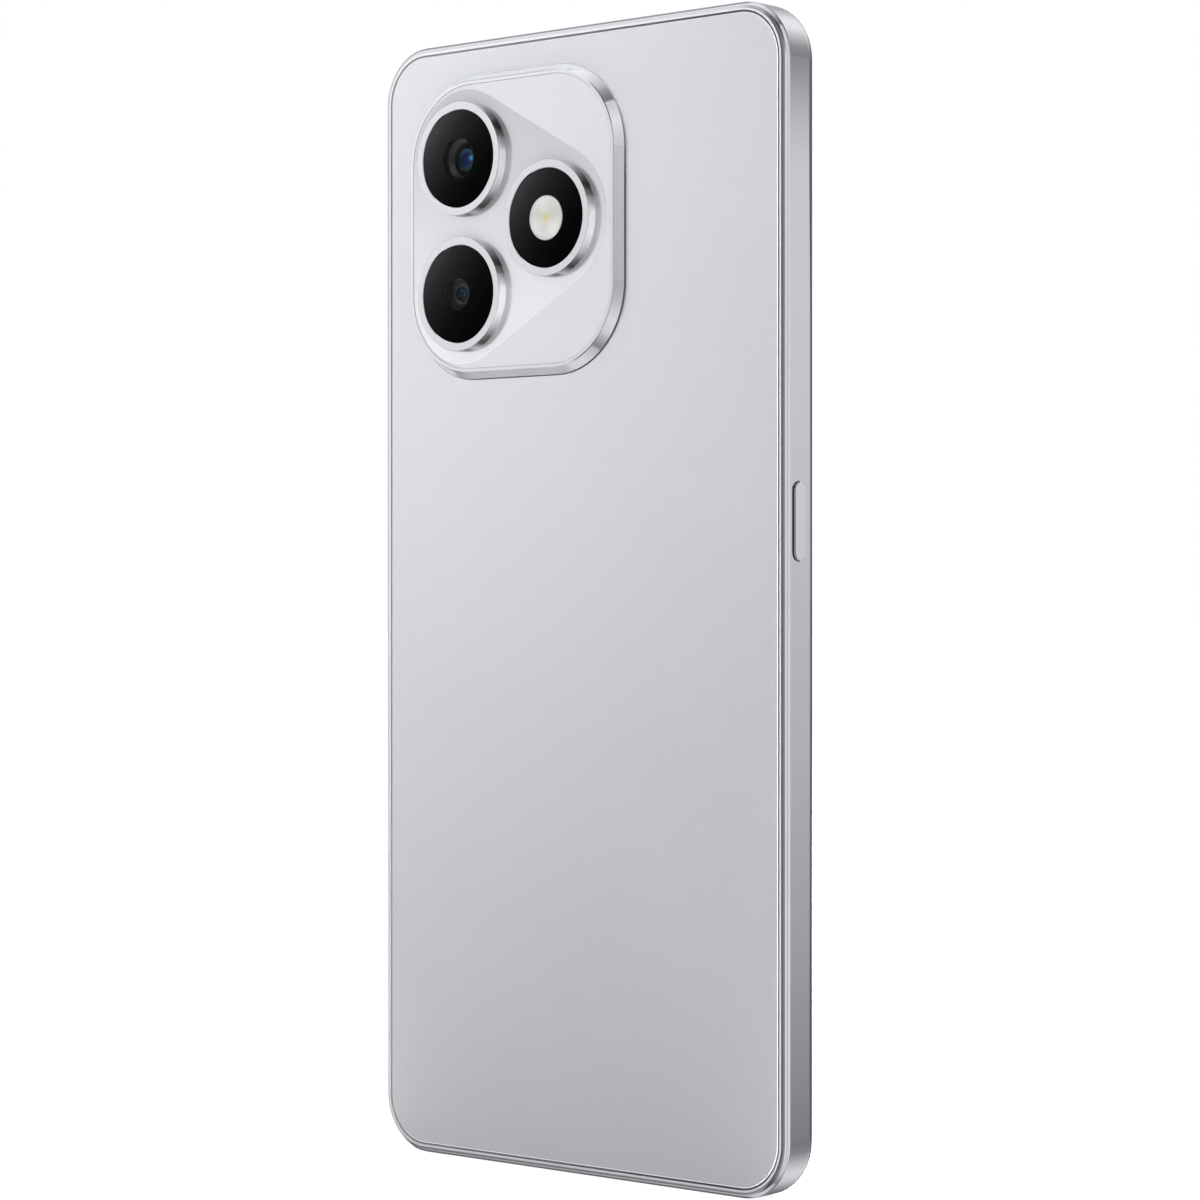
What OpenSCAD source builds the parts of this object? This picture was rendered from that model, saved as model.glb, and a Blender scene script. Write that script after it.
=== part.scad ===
// Touch-screen phone with a raised rear camera island, standing upright on its lower edge.
// +X is the right-hand side seen from the display, +Y points out of the rear panel, +Z is up.
// Most modules draw in a local frame of (x, height, depth), where depth grows from the
// rear panel's outer face (0) towards the display, and the camera island is at depth < 0.

/* [Body] */
// Width across the side frame, without the keys, mm
body_w = 77; // [76.6:0.1:78]
// Height, mm
body_h = 163.3; // [163:0.1:166]
// Depth from the rear panel to the front of the display glass, mm
body_t = 7.4; // [7.4:0.05:7.8]
// Outline corner radius, mm
body_r = 8.1; // [7.8:0.1:8.6]
// Fillet round the rear edge of the side frame, mm
rear_fillet = 0.88; // [0.6:0.02:1]
// Fillet round the front edge of the side frame, mm
front_fillet = 1.95; // [1.7:0.05:2]

/* [Camera island] */
// Island width, mm
island_w = 41.9; // [41.4:0.1:42.4]
// Island height, mm
island_h = 44.2; // [43.8:0.1:45]
// Island corner radius at its foot, mm
island_r = 12.7; // [12.3:0.1:13]
// Island height above the rear panel, mm
island_t = 1.47; // [1.4:0.01:1.6]
// How far the polished edge leans in from foot to top, mm
island_bevel = 0.95; // [0.8:0.05:1]
// Outer radius of a lens ring, mm
ring_r = 8.41; // [8.3:0.01:8.5]
// Height of a lens ring above the island's surface, mm
ring_t = 1.42; // [1.3:0.01:1.5]
// Radius of the dark window in a lens ring, mm
window_r = 7.05; // [6.9:0.01:7.1]
// Distance between the two stacked lenses, mm
lens_pitch = 19.7; // [19.4:0.1:20]

/* [Keys] */
// Length of the key on the -X side, mm
side_key_len = 10.8; // [10:0.1:11]
// Height of its middle above the lower edge, mm
side_key_z = 92.3; // [91:0.1:94]
// Length of the power key on the +X side, mm
power_key_len = 12; // [11.5:0.1:12.5]
// Height of its middle, mm
power_key_z = 95; // [94:0.1:96]
// Length of the volume rocker on the +X side, mm
volume_key_len = 21; // [20:0.1:21]
// Height of its middle, mm
volume_key_z = 119; // [118.8:0.1:119.2]
// Width of every key, mm
key_w = 2.4; // [2.2:0.05:2.5]
// How far a key stands out of the frame, mm
key_proud = 0.35; // [0.25:0.01:0.4]

/* [Connectors] */
// Height of the middle of the USB-C mouth's stadium section, mm
usb_mouth_h = 2.56; // [2.5:0.01:2.6]
// Radius of each hole in the loudspeaker row, mm
speaker_hole_r = 0.6; // [0.5:0.05:0.7]
// Radius of the ejector pin's hole in the card tray, mm
eject_hole_r = 0.5; // [0.4:0.05:0.5]

/* [Hidden] */
$fn = 72;
// depth positions of the stack, from the rear panel inwards
panel_t = 0.55;         // rear panel
seat_d = 0.65;          // ledge that the rear panel is glued to
plate_d0 = 5.0;         // metal chassis plate
plate_d1 = 5.4;
front_d = body_t - 0.5; // front tip of the side frame
ledge_d = body_t - 0.95; // ledge that the display is glued to
bezel_d0 = body_t - 0.85;
glass_d0 = body_t - 0.6; // display glass
// insets from the outline
lip_in = 1.18;          // inner side of the frame's rear lip
wall_in = 2.5;          // inner side of the frame's wall
front_in = 3.3;         // inner side of the frame's front ledge
half_w = body_w / 2;
in_x = half_w - wall_in; // inner face of the side walls
up = body_h - 163.3;    // what is tied to the top edge moves with the height
out = half_w - 38.5;    // what is tied to a side edge moves with the width
// the island stands out of the rear, so the rear panel is not at the middle of the depth
surface_d = -(island_t - 0.05);   // island's surface
ring_top_d = surface_d - ring_t;
rear_y = (body_t + ring_top_d) / 2; // rear panel's outer face, measured from the box's middle
island_x = 11.5;
island_z = 136 + up;
lens_x = 20.6;
flash_x = 3.2;
main_z = island_z + lens_pitch / 2;
lower_z = island_z - lens_pitch / 2;
hole_r = 7.6;
key_d = 2.71;           // depth of the keys' middle line
key_gap = 0.1;          // running clearance round a key
sim_x = -21;
sim_d = 2.85;
rod_x = -13.9;
lever_x = -17.5;
lever_z = 137.6 + up;
usb_d = 3.2;
board_screws = [[-32, 111.5], [32, 111.5], [-32, 157], [31.5, 156.5], [10, 155.5], [10.5, 113], [-9, 137]];
sub_screws = [[-31.5, 21], [1.5, 12.5], [-19.5, 21]];

// ---------------------------------------------------------------- helpers

// local (x, height, depth) to the phone's own frame
module place() {
    translate([0, rear_y, 0]) rotate([90, 0, 0]) children();
}

// a box between two corners in the local frame
module block(x0, x1, z0, z1, d0, d1) {
    translate([x0, z0, d0]) cube([x1 - x0, z1 - z0, d1 - d0]);
}

// a flat shape in (x, height), filled between two depths
module layer(d0, d1) {
    translate([0, 0, d0]) linear_extrude(d1 - d0) children();
}

// a shape in (height, depth), filled between two x
module along_x(x0, x1) {
    translate([x0, 0, 0]) rotate([90, 0, 90]) linear_extrude(x1 - x0) children();
}

// a shape in (x, depth), filled between two heights
module along_z(z0, z1) {
    translate([0, z1, 0]) rotate([90, 0, 0]) linear_extrude(z1 - z0) children();
}

// a rounded rectangle about the origin
module rounded(w, h, r) {
    square([w - 2 * r, h], center = true);
    square([w, h - 2 * r], center = true);
    for (sx = [-1, 1], sy = [-1, 1]) {
        translate([sx * (w / 2 - r), sy * (h / 2 - r)]) circle(r);
    }
}

// a stadium about the origin, long side along the first axis
module stadium(l, w) {
    square([l - w, w], center = true);
    translate([(l - w) / 2, 0]) circle(w / 2);
    translate([-(l - w) / 2, 0]) circle(w / 2);
}

// carries an edge profile, drawn in (offset from the outline, depth), round a rounded rectangle
module sweep(w, h, r) {
    for (k = [0:3]) {
        sx = (k == 0 || k == 3) ? 1 : -1;
        sy = (k < 2) ? 1 : -1;
        translate([sx * (w / 2 - r), sy * (h / 2 - r), 0]) rotate([0, 0, 90 * k])
            rotate_extrude(angle = 90) translate([r, 0]) children();
    }
    for (k = [0:3]) {
        run = (k % 2 == 0) ? h - 2 * r : w - 2 * r;
        reach = (k % 2 == 0) ? w / 2 : h / 2;
        if (run > 0.001) {
            rotate([0, 0, 90 * k]) translate([reach, run / 2, 0]) rotate([90, 0, 0])
                linear_extrude(run) children();
        }
    }
}

// a flat plate with the given profile round its edge; the profile starts at -(e + 0.1)
module plate_sweep(w, h, r, e, d0, d1) {
    sweep(w, h, r) children();
    layer(d0, d1) rounded(w - 2 * e, h - 2 * e, r - e);
}

// outline of the phone, inset by a distance
module inset_outline(s) {
    translate([0, body_h / 2]) rounded(body_w - 2 * s, body_h - 2 * s, body_r - s);
}

// flat band between two insets from the outline
module band(s_out, s_in, d0, d1) {
    layer(d0, d1) difference() {
        inset_outline(s_out);
        inset_outline(s_in);
    }
}

// ---------------------------------------------------------------- frame and chassis

module frame_profile() {
    difference() {
        union() {
            translate([-front_in, rear_fillet])
                square([front_in, front_d - front_fillet - rear_fillet]);
            translate([-front_in, 0]) square([front_in - rear_fillet, rear_fillet]);
            translate([-rear_fillet, rear_fillet]) circle(rear_fillet);
            translate([-front_in, front_d - front_fillet])
                square([front_in - front_fillet, front_fillet]);
            intersection() {
                translate([-front_fillet, front_d - front_fillet]) circle(front_fillet);
                translate([-front_in, 0]) square([front_in, 10]);
            }
        }
        translate([-5, -1]) square([5 - lip_in, seat_d + 1]);
        translate([-5, -1]) square([5 - wall_in, plate_d1 + 1]);
        translate([-5, ledge_d]) square([5 - 1, 3]);
    }
}

// opening for a key, with the wider pocket behind the wall for its flange
module key_cut(len, z, side, gap) {
    x = half_w * side;
    mirror([side < 0 ? 1 : 0, 0, 0]) {
        translate([0, z, key_d]) along_x(in_x - 1, half_w + 2) stadium(len + 2 * gap, key_w + 2 * gap);
        block(in_x - 1, half_w - 1.3, z - len / 2 - 1.6, z + len / 2 + 1.6, key_d - 1.65, key_d + 1.65);
    }
}

module mid_frame() {
    color([0.72, 0.73, 0.75]) place() difference() {
        translate([0, body_h / 2, 0]) sweep(body_w, body_h, body_r) frame_profile();
        key_cut(side_key_len, side_key_z, -1, key_gap);
        key_cut(power_key_len, power_key_z, 1, key_gap);
        key_cut(volume_key_len, volume_key_z, 1, 0.2);
        // seat of the rocker's pin
        translate([half_w - 1.95, volume_key_z, 0.8]) cylinder(r = 0.41, h = 4.1);
        // card tray: door pocket, neck slot and the ejector rod's guide
        translate([sim_x, 0, sim_d]) along_z(body_h - 1.9, body_h + 1) stadium(17.2, 2.1);
        block(-29.3, -15.3, body_h - 4, body_h - 1, sim_d - 0.575, sim_d + 0.575);
        translate([rod_x, 0, sim_d]) along_z(body_h - 4, body_h - 1) circle(0.6);
        // upper microphone
        translate([-9.5, 0, sim_d]) along_z(body_h - 4, body_h + 1) circle(0.45);
        // lower edge: USB-C mouth, microphone and loudspeaker row
        translate([0, 0, usb_d]) along_z(-1, 4) stadium(9.1, 3.4);
        translate([-12, 0, usb_d]) along_z(-1, 4) circle(0.45);
        for (i = [0:5]) {
            translate([12.5 + 2.5 * i, 0, usb_d]) along_z(-1, 4) circle(speaker_hole_r);
        }
    }
}

module chassis_plate() {
    color([0.62, 0.64, 0.67]) place() {
        difference() {
            union() {
                layer(plate_d0, plate_d1) inset_outline(wall_in + 0.05);
                for (p = board_screws) translate([p[0], p[1] + up, 4.3]) cylinder(r = 1.6, h = 0.8);
                for (p = sub_screws) translate([p[0], p[1], 3.9]) cylinder(r = 1.6, h = 1.2);
                for (s = [-1, 1]) {
                    block(s * 32.9 - 0.3, s * 32.9 + 0.3, 34, 84, 4.2, 5.1);
                }
            }
            for (p = board_screws) translate([p[0], p[1] + up, 4]) cylinder(r = 0.7, h = 2);
            for (p = sub_screws) translate([p[0], p[1], 3.5]) cylinder(r = 0.7, h = 2);
            // front camera and earpiece
            block(-3.2, 3.2, 151.6 + up, 158.2 + up, 4, 6);
            block(-6.8, 6.8, 157.8 + up, 160.4 + up, 4, 6);
            // display flex
            block(-10.5, 10.5, 28.3, 29.7, 4, 6);
        }
    }
}

// ---------------------------------------------------------------- rear side

module rear_cover() {
    w = body_w - 2 * (lip_in + 0.1);
    h = body_h - 2 * (lip_in + 0.1);
    r = body_r - lip_in - 0.1;
    color([0.82, 0.83, 0.85]) place() difference() {
        translate([0, body_h / 2, 0]) plate_sweep(w, h, r, 0.5, 0, panel_t)
            polygon([[-0.6, 0], [-0.3, 0], [0, 0.22], [0, panel_t], [-0.6, panel_t]]);
        for (c = [[lens_x, main_z], [lens_x, lower_z], [flash_x, island_z]]) {
            translate([c[0], c[1], -1]) cylinder(r = 6.6, h = 3);
        }
    }
}

module rear_cover_adhesive() {
    color([0.1, 0.1, 0.1]) place() band(lip_in + 0.15, wall_in - 0.05, panel_t, seat_d);
}

module island_bezel() {
    b = island_bevel;
    color([0.85, 0.86, 0.88]) place() translate([island_x, island_z, 0])
        sweep(island_w, island_h, island_r)
            polygon([[-b - 0.45, 0], [0, 0], [0, -0.2], [-b + 0.1, -island_t + 0.08],
                [-b, -island_t], [-b - 0.45, -island_t]]);
}

// convex outline round the three lens rings
module zone_outline() {
    ra = 10.15;
    rb = 10.4;
    dx = lens_x - flash_x;
    dz = lens_pitch / 2;
    gap = sqrt(dx * dx + dz * dz);
    // direction of the outward normal of the slanted tangent, measured from the +x axis
    a = 180 + atan2(dz, dx) - acos((ra - rb) / gap);
    n = [cos(a), sin(a)];
    translate([lens_x, main_z]) circle(ra);
    translate([lens_x, lower_z]) circle(ra);
    translate([flash_x, island_z]) circle(rb);
    polygon([[lens_x + ra, main_z], [lens_x + ra * n[0], main_z + ra * n[1]],
        [flash_x + rb * n[0], island_z + rb * n[1]], [flash_x + rb * n[0], island_z - rb * n[1]],
        [lens_x + ra * n[0], lower_z - ra * n[1]], [lens_x + ra, lower_z]]);
}

module lens_holes() {
    for (c = [[lens_x, main_z], [lens_x, lower_z], [flash_x, island_z]]) {
        translate([c[0], c[1], -5]) cylinder(r = hole_r, h = 10);
    }
}

module island_plate() {
    b = island_bevel + 0.5;
    color([0.86, 0.87, 0.89]) place() difference() {
        layer(surface_d, 0) translate([island_x, island_z])
            rounded(island_w - 2 * b, island_h - 2 * b, island_r - b);
        layer(surface_d - 1, surface_d + 0.4) zone_outline();
        lens_holes();
    }
}

module lens_zone_panel() {
    color([0.8, 0.81, 0.84]) place() difference() {
        layer(surface_d - 0.03, surface_d + 0.4) intersection() {
            zone_outline();
            translate([island_x, island_z])
                rounded(island_w - 2.9 - 0.1, island_h - 2.9 - 0.1, island_r - 1.5);
        }
        lens_holes();
    }
}

// lens ring: a seat for the window on top, a skirt through the island
module lens_ring(x, z) {
    t = ring_top_d;
    color([0.88, 0.89, 0.9]) place() translate([x, z, 0]) rotate_extrude()
        polygon([[6.4, -0.3], [7.5, -0.3], [7.5, surface_d - 0.03], [ring_r, surface_d - 0.03],
            [ring_r, t + 0.16], [ring_r - 0.16, t], [window_r + 0.05, t],
            [window_r + 0.05, t + 0.7], [6.4, t + 0.7]]);
}

module main_lens_ring() { lens_ring(lens_x, main_z); }
module lower_lens_ring() { lens_ring(lens_x, lower_z); }
module flash_ring() { lens_ring(flash_x, island_z); }

module main_lens_glass() {
    color([0.05, 0.05, 0.06]) place() translate([lens_x, main_z, ring_top_d + 0.08])
        cylinder(r = window_r, h = 0.62);
}

module lower_lens_glass() {
    color([0.05, 0.05, 0.06]) place() translate([lens_x, lower_z, ring_top_d + 0.08])
        cylinder(r = window_r, h = 0.62);
}

module flash_window() {
    color([0.04, 0.04, 0.05]) place() translate([flash_x, island_z, ring_top_d + 0.08])
        difference() {
            cylinder(r = window_r, h = 0.62);
            translate([0, 0, -1]) cylinder(r = 3.24, h = 3);
        }
}

module flash_diffuser() {
    color([0.95, 0.95, 0.9]) place() translate([flash_x, island_z, ring_top_d + 0.08])
        cylinder(r = 3.19, h = 0.62);
}

module flash_reflector() {
    color([0.95, 0.95, 0.95]) place() translate([flash_x, island_z, 0]) difference() {
        translate([0, 0, ring_top_d + 0.7]) cylinder(r = 4.4, h = 2.4);
        translate([0, 0, ring_top_d + 0.6]) cylinder(r = 3.1, h = 2.1);
        translate([-1.1, -1.1, ring_top_d]) cube([2.2, 2.2, 5]);
    }
}

module flash_led() {
    color([0.95, 0.85, 0.3]) place()
        block(flash_x - 1, flash_x + 1, island_z - 1, island_z + 1, ring_top_d + 2.1, ring_top_d + 3.1);
}

// ---------------------------------------------------------------- cameras

module main_camera_housing() {
    color([0.2, 0.2, 0.22]) place() translate([lens_x, main_z, 0]) difference() {
        translate([-5.2, -5.2, 0.75]) cube([10.4, 10.4, 4.15]);
        translate([0, 0, 0]) cylinder(r = 3.87, h = 4.3);
    }
}

module main_camera_barrel() {
    color([0.12, 0.12, 0.13]) place() translate([lens_x, main_z, 0]) rotate_extrude()
        polygon([[2.4, 3.7], [3.8, 3.7], [3.8, ring_top_d + 1.2], [3.1, ring_top_d + 1.2],
            [2.4, ring_top_d + 1.9]]);
}

module main_camera_lens() {
    color([0.2, 0.3, 0.6]) place() translate([lens_x, main_z, 0]) rotate_extrude()
        polygon([[0, ring_top_d + 1.85], [1.3, ring_top_d + 2.0], [2.38, ring_top_d + 2.35],
            [2.38, 1.6], [0, 1.6]]);
}

module lower_camera_housing() {
    color([0.2, 0.2, 0.22]) place() translate([lens_x, lower_z, 0]) {
        translate([-3.25, -3.25, 1.9]) cube([6.5, 6.5, 3]);
        difference() {
            translate([0, 0, ring_top_d + 0.9]) cylinder(r = 2.9, h = 2.2 - ring_top_d);
            translate([0, 0, -5]) cylinder(r = 1.2, h = 6);
        }
    }
}

module lower_camera_lens() {
    color([0.2, 0.3, 0.5]) place() translate([lens_x, lower_z, 0]) rotate_extrude()
        polygon([[0, ring_top_d + 1.1], [1.18, ring_top_d + 1.35], [1.18, 1], [0, 1]]);
}

module front_camera() {
    color([0.15, 0.15, 0.16]) place() translate([0, 154.8 + up, 0]) {
        translate([-2.9, -2.9, 3.3]) cube([5.8, 5.8, 2]);
        translate([0, 0, 5.3]) cylinder(r = 1.8, h = glass_d0 - 5.35);
    }
}

// ---------------------------------------------------------------- display side

module display_glass() {
    s = 1.5;
    r = body_r - s;
    f = 0.5;
    t = body_t - glass_d0;
    color([0.03, 0.03, 0.04]) place() difference() {
        translate([0, body_h / 2, glass_d0])
            plate_sweep(body_w - 2 * s, body_h - 2 * s, r, 1, 0, t) union() {
                translate([-1.1, 0]) square([1.1 - f, t]);
                intersection() {
                    translate([-f, t - f]) circle(f);
                    translate([-1.1, 0]) square([1.1, t]);
                }
                translate([-1.1, 0]) square([1.1, t - f]);
            }
        block(-6, 6, body_h - 2, body_h, glass_d0 - 1, body_t + 1);
    }
}

module display_panel() {
    color([0.08, 0.08, 0.1]) place() difference() {
        layer(5.5, glass_d0) inset_outline(front_in + 0.3);
        translate([0, 154.8 + up, 4]) cylinder(r = 2, h = 5);
    }
}

module display_bezel() {
    color([0.1, 0.1, 0.1]) place() {
        band(1.05, front_in + 0.1, bezel_d0, glass_d0);
        band(1.05, 1.45, glass_d0, front_d + 0.05);
    }
}

module display_adhesive() {
    color([0.05, 0.05, 0.05]) place() band(1.2, front_in - 0.1, ledge_d, bezel_d0);
}

module display_flex() {
    color([0.75, 0.5, 0.15]) place() {
        block(-7.5, 7.5, 18, 29.2, 5.4, 5.5);
        block(-7.5, 7.5, 29, 29.2, 4, 5.5);
        block(-7.5, 7.5, 18, 29.2, 3.9, 4);
    }
}

module earpiece() {
    color([0.25, 0.25, 0.27]) place() block(-6.5, 6.5, 158.3 + up, 160.3 + up, 3.0, 5.3);
}

module earpiece_mesh() {
    color([0.3, 0.3, 0.32]) place()
        block(-5.9, 5.9, body_h - 1.98, body_h - 1.52, glass_d0 + 0.05, glass_d0 + 0.35);
}

// ---------------------------------------------------------------- battery and boards

module battery() {
    color([0.15, 0.15, 0.16]) place() layer(1.0, 4.8) translate([0, 68.75]) rounded(64, 73.5, 1.5);
}

module battery_adhesive() {
    color([0.9, 0.9, 0.9]) place() {
        block(-26, -8, 36, 102, 4.8, 5.0);
        block(8, 26, 36, 102, 4.8, 5.0);
    }
}

module battery_flex() {
    color([0.75, 0.5, 0.15]) place() {
        block(15, 27, 105.5, 112 + up, 3.5, 3.6);
        block(18, 25, 109.5 + up, 111.5 + up, 2.7, 3.5);
    }
}

module main_board() {
    color([0.1, 0.35, 0.2]) place() difference() {
        layer(3.6, 4.3) intersection() {
            translate([0, body_h / 2]) rounded(68.6, body_h - 6, 5);
            translate([-40, 109 + up]) square([80, 60]);
        }
        block(lens_x - 5.5, lens_x + 5.5, main_z - 5.5, main_z + 5.5, 3, 5);
        block(lens_x - 3.55, lens_x + 3.55, lower_z - 3.55, lower_z + 3.55, 3, 5);
        block(-3.3, 3.3, 151.4 + up, 170, 3, 5);
        block(-6.9, 6.9, 157.7 + up, 170, 3, 5);
        for (p = board_screws) translate([p[0], p[1] + up, 3]) cylinder(r = 0.8, h = 2);
    }
}

module shield_can_rear() {
    color([0.7, 0.7, 0.72]) place() difference() {
        block(-30, 5, 115 + up, 133.5 + up, 2.0, 3.6);
        block(-29.8, 4.8, 115.2 + up, 133.3 + up, 2.2, 3.7);
    }
}

module shield_can_front() {
    color([0.7, 0.7, 0.72]) place() difference() {
        block(-29, 5, 115 + up, 150 + up, 4.3, 4.95);
        block(-28.8, 4.8, 115.2 + up, 149.8 + up, 4.2, 4.8);
        translate([-9, 137 + up, 4]) cylinder(r = 1.9, h = 2);
    }
}

module upper_bracket() {
    color([0.13, 0.13, 0.14]) place() difference() {
        union() {
            layer(1.1, 1.7) intersection() {
                translate([0, body_h / 2]) rounded(68.6, body_h - 6, 5);
                translate([-40, 109 + up]) square([80, 60]);
            }
            for (p = board_screws) translate([p[0], p[1] + up, 1.6]) cylinder(r = 1.6, h = 2);
        }
        block(lens_x - 5.6, lens_x + 5.6, main_z - 5.6, main_z + 5.6, 0, 3);
        translate([lens_x, lower_z, 0]) cylinder(r = 3.3, h = 3);
        block(-3.2, 3.2, 151.4 + up, 158 + up, 0, 3);
        for (p = board_screws) translate([p[0], p[1] + up, 0]) cylinder(r = 0.8, h = 5);
    }
}

module lower_bracket() {
    color([0.13, 0.13, 0.14]) place() difference() {
        union() {
            layer(1.1, 1.7) translate([-14, 14.4]) rounded(41, 20.6, 3);
            for (p = sub_screws) translate([p[0], p[1], 1.6]) cylinder(r = 1.6, h = 1.7);
        }
        block(-4.9, 4.9, 0, 8.8, 0, 3);
        translate([-26.5, 12, 0]) cylinder(r = 4.5, h = 3);
        for (p = sub_screws) translate([p[0], p[1], 0]) cylinder(r = 0.8, h = 5);
    }
}

module sub_board() {
    color([0.1, 0.35, 0.2]) place() difference() {
        layer(3.3, 3.9) translate([-14, 13.75]) rounded(40.6, 20.5, 3);
        block(-4.7, 4.7, 0, 8.2, 3, 5);
        for (p = sub_screws) translate([p[0], p[1], 3]) cylinder(r = 0.8, h = 2);
    }
}

module main_flex() {
    color([0.75, 0.5, 0.15]) place() {
        block(-4, 4, 25.9, 107.8 + up, 0.85, 0.95);
        block(-4, 4, 25.9, 26.1, 0.85, 3.3);
        block(-4, 4, 22.5, 26.1, 3.2, 3.3);
        block(-4, 4, 107.6 + up, 107.8 + up, 0.85, 3.6);
        block(-4, 4, 107.6 + up, 112 + up, 3.5, 3.6);
    }
}

module antenna_coax() {
    color([0.1, 0.1, 0.1]) place() translate([-33.9, 0, 4.45]) {
        along_z(23, 108.8 + up) circle(0.4);
    }
}

module shanks_and_heads(p, dz) {
    translate([p[0], p[1] + dz, 0.7]) cylinder(r = 1.3, h = 0.4);
    translate([p[0], p[1] + dz, 1.1]) cylinder(r = 0.65, h = 4.1);
}

module screws() {
    color([0.6, 0.6, 0.62]) place() {
        for (p = board_screws) shanks_and_heads(p, up);
        for (p = sub_screws) shanks_and_heads(p, 0);
    }
}

// ---------------------------------------------------------------- lower edge

module usb_c_shell() {
    color([0.75, 0.76, 0.78]) place() translate([0, 0, usb_d]) difference() {
        along_z(0.15, 8) stadium(8.94, usb_mouth_h + 0.64);
        along_z(-1, 7.6) stadium(8.34, usb_mouth_h);
    }
}

module usb_c_tongue() {
    color([0.1, 0.1, 0.1]) place() translate([0, 0, usb_d]) along_z(1.2, 7.6)
        square([6.69, 0.7], center = true);
}

module loudspeaker_box() {
    color([0.12, 0.12, 0.13]) place() difference() {
        layer(0.9, 4.8) translate([21.4, 14.4]) rounded(26, 22.6, 3);
        // front chamber behind the row of holes
        block(11.5, 26, 0, 7, 2.2, 4.2);
    }
}

module speaker_mesh() {
    color([0.3, 0.3, 0.32]) place() block(11, 26.5, 2.52, 2.85, 2.1, 4.3);
}

module microphones() {
    color([0.75, 0.7, 0.45]) place() {
        block(-13.75, -10.25, 3.8, 6.5, 2.3, 3.3);
        block(-11.25, -7.75, 157.4 + up, 160.1 + up, 2.6, 3.6);
    }
}

module vibration_case() {
    color([0.65, 0.66, 0.68]) place() translate([-26.5, 12, 0]) {
        difference() {
            translate([0, 0, 0.8]) cylinder(r = 4.2, h = 2.5);
            translate([0, 0, 1.0]) cylinder(r = 3.95, h = 2.1);
        }
        translate([0, 0, 0.9]) cylinder(r = 0.4, h = 2.3);
    }
}

// half disc, hanging heavy side down on the shaft
module vibration_rotor() {
    color([0.5, 0.45, 0.3]) place() translate([-26.5, 12, 1.35]) difference() {
        union() {
            intersection() {
                cylinder(r = 3.6, h = 1.4);
                translate([-5, -5, -1]) cube([10, 5, 4]);
            }
            cylinder(r = 1, h = 1.4);
        }
        translate([0, 0, -1]) cylinder(r = 0.45, h = 4);
    }
}

// ---------------------------------------------------------------- card tray and ejector

module sim_connector() {
    color([0.72, 0.73, 0.75]) place() {
        difference() {
            block(-30, -14.8, 141.5 + up, 158.5 + up, 1.85, 3.6);
            block(-29.75, -15.05, 141 + up, 159 + up, 2.05, 3.45);
        }
        block(-29, -12.9, 135.8 + up, 141.5 + up, 3.45, 3.6);
        translate([lever_x, lever_z, 2.2]) cylinder(r = 0.6, h = 1.3);
        // guide eye of the ejector rod
        difference() {
            block(-14.8, -12.9, 146 + up, 148 + up, 1.95, 3.6);
            translate([rod_x, 0, sim_d]) along_z(145 + up, 149 + up) circle(0.6);
        }
    }
}

module sim_tray() {
    color([0.74, 0.75, 0.77]) place() difference() {
        union() {
            translate([sim_x, 0, sim_d]) along_z(body_h - 1.2, body_h) stadium(17, 1.9);
            block(-29.2, -15.4, 139.5 + up, body_h - 1.1, sim_d - 0.475, sim_d + 0.475);
        }
        block(-28.5, -16.1, 141 + up, 149.9 + up, 0, 6);
        block(-28.5, -16.1, 151 + up, 159.9 + up, 0, 6);
        translate([rod_x, 0, sim_d]) along_z(body_h - 3, body_h + 1) circle(eject_hole_r);
    }
}

module sim_tray_seal() {
    color([0.8, 0.2, 0.15]) place() difference() {
        translate([-22.3, 0, sim_d]) along_z(body_h - 1.8, body_h - 1.25) stadium(14.2, 1.8);
        block(-29.2, -15.4, body_h - 3, body_h, sim_d - 0.475, sim_d + 0.475);
    }
}

module sim_eject_rod() {
    color([0.6, 0.6, 0.62]) place() translate([rod_x, 0, sim_d])
        along_z(138.55 + up, body_h - 2) circle(0.55);
}

module sim_eject_lever() {
    color([0.6, 0.6, 0.62]) place() difference() {
        union() {
            block(-23, -13, lever_z - 0.8, lever_z + 0.8, 2.4, 3.2);
            block(-23, -22, lever_z - 0.8, lever_z + 1.3, 2.4, 3.2);
            translate([lever_x, lever_z, 2.4]) cylinder(r = 1.3, h = 0.8);
        }
        translate([lever_x, lever_z, 2]) cylinder(r = 0.65, h = 2);
    }
}

// ---------------------------------------------------------------- keys

// a key's cap: a stadium with a bevelled outer edge, standing on its base plane
module key_cap(len, t) {
    w = key_w;
    sweep(len, w, w / 2)
        polygon([[-0.5, 0], [0, 0], [0, t - 0.15], [-0.15, t], [-0.5, t]]);
    linear_extrude(t) stadium(len - 0.8, w - 0.8);
}

// a push key on the +X side: bevelled cap, flange behind the wall, nub over the switch
module push_key(len, z) {
    translate([half_w - 1.9, z, key_d]) rotate([90, 0, 90]) key_cap(len, 1.9 + key_proud);
    block(half_w - 1.9, half_w - 1.35, z - len / 2 - 1.2, z + len / 2 + 1.2, key_d - 1.5, key_d + 1.5);
    translate([0, z, key_d]) along_x(half_w - 2.3, half_w - 1.85) circle(0.8);
}

module side_key() {
    color([0.76, 0.77, 0.79]) place() mirror([1, 0, 0]) push_key(side_key_len, side_key_z);
}

module power_key() {
    color([0.76, 0.77, 0.79]) place() difference() {
        push_key(power_key_len, power_key_z);
        translate([0, power_key_z, key_d]) along_x(half_w, half_w + 2)
            stadium(power_key_len - 1.2, key_w - 0.6);
    }
}

module fingerprint_sensor() {
    color([0.3, 0.3, 0.32]) place() translate([0, power_key_z, key_d])
        along_x(half_w, half_w + key_proud - 0.05) stadium(power_key_len - 1.3, key_w - 0.7);
}

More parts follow.
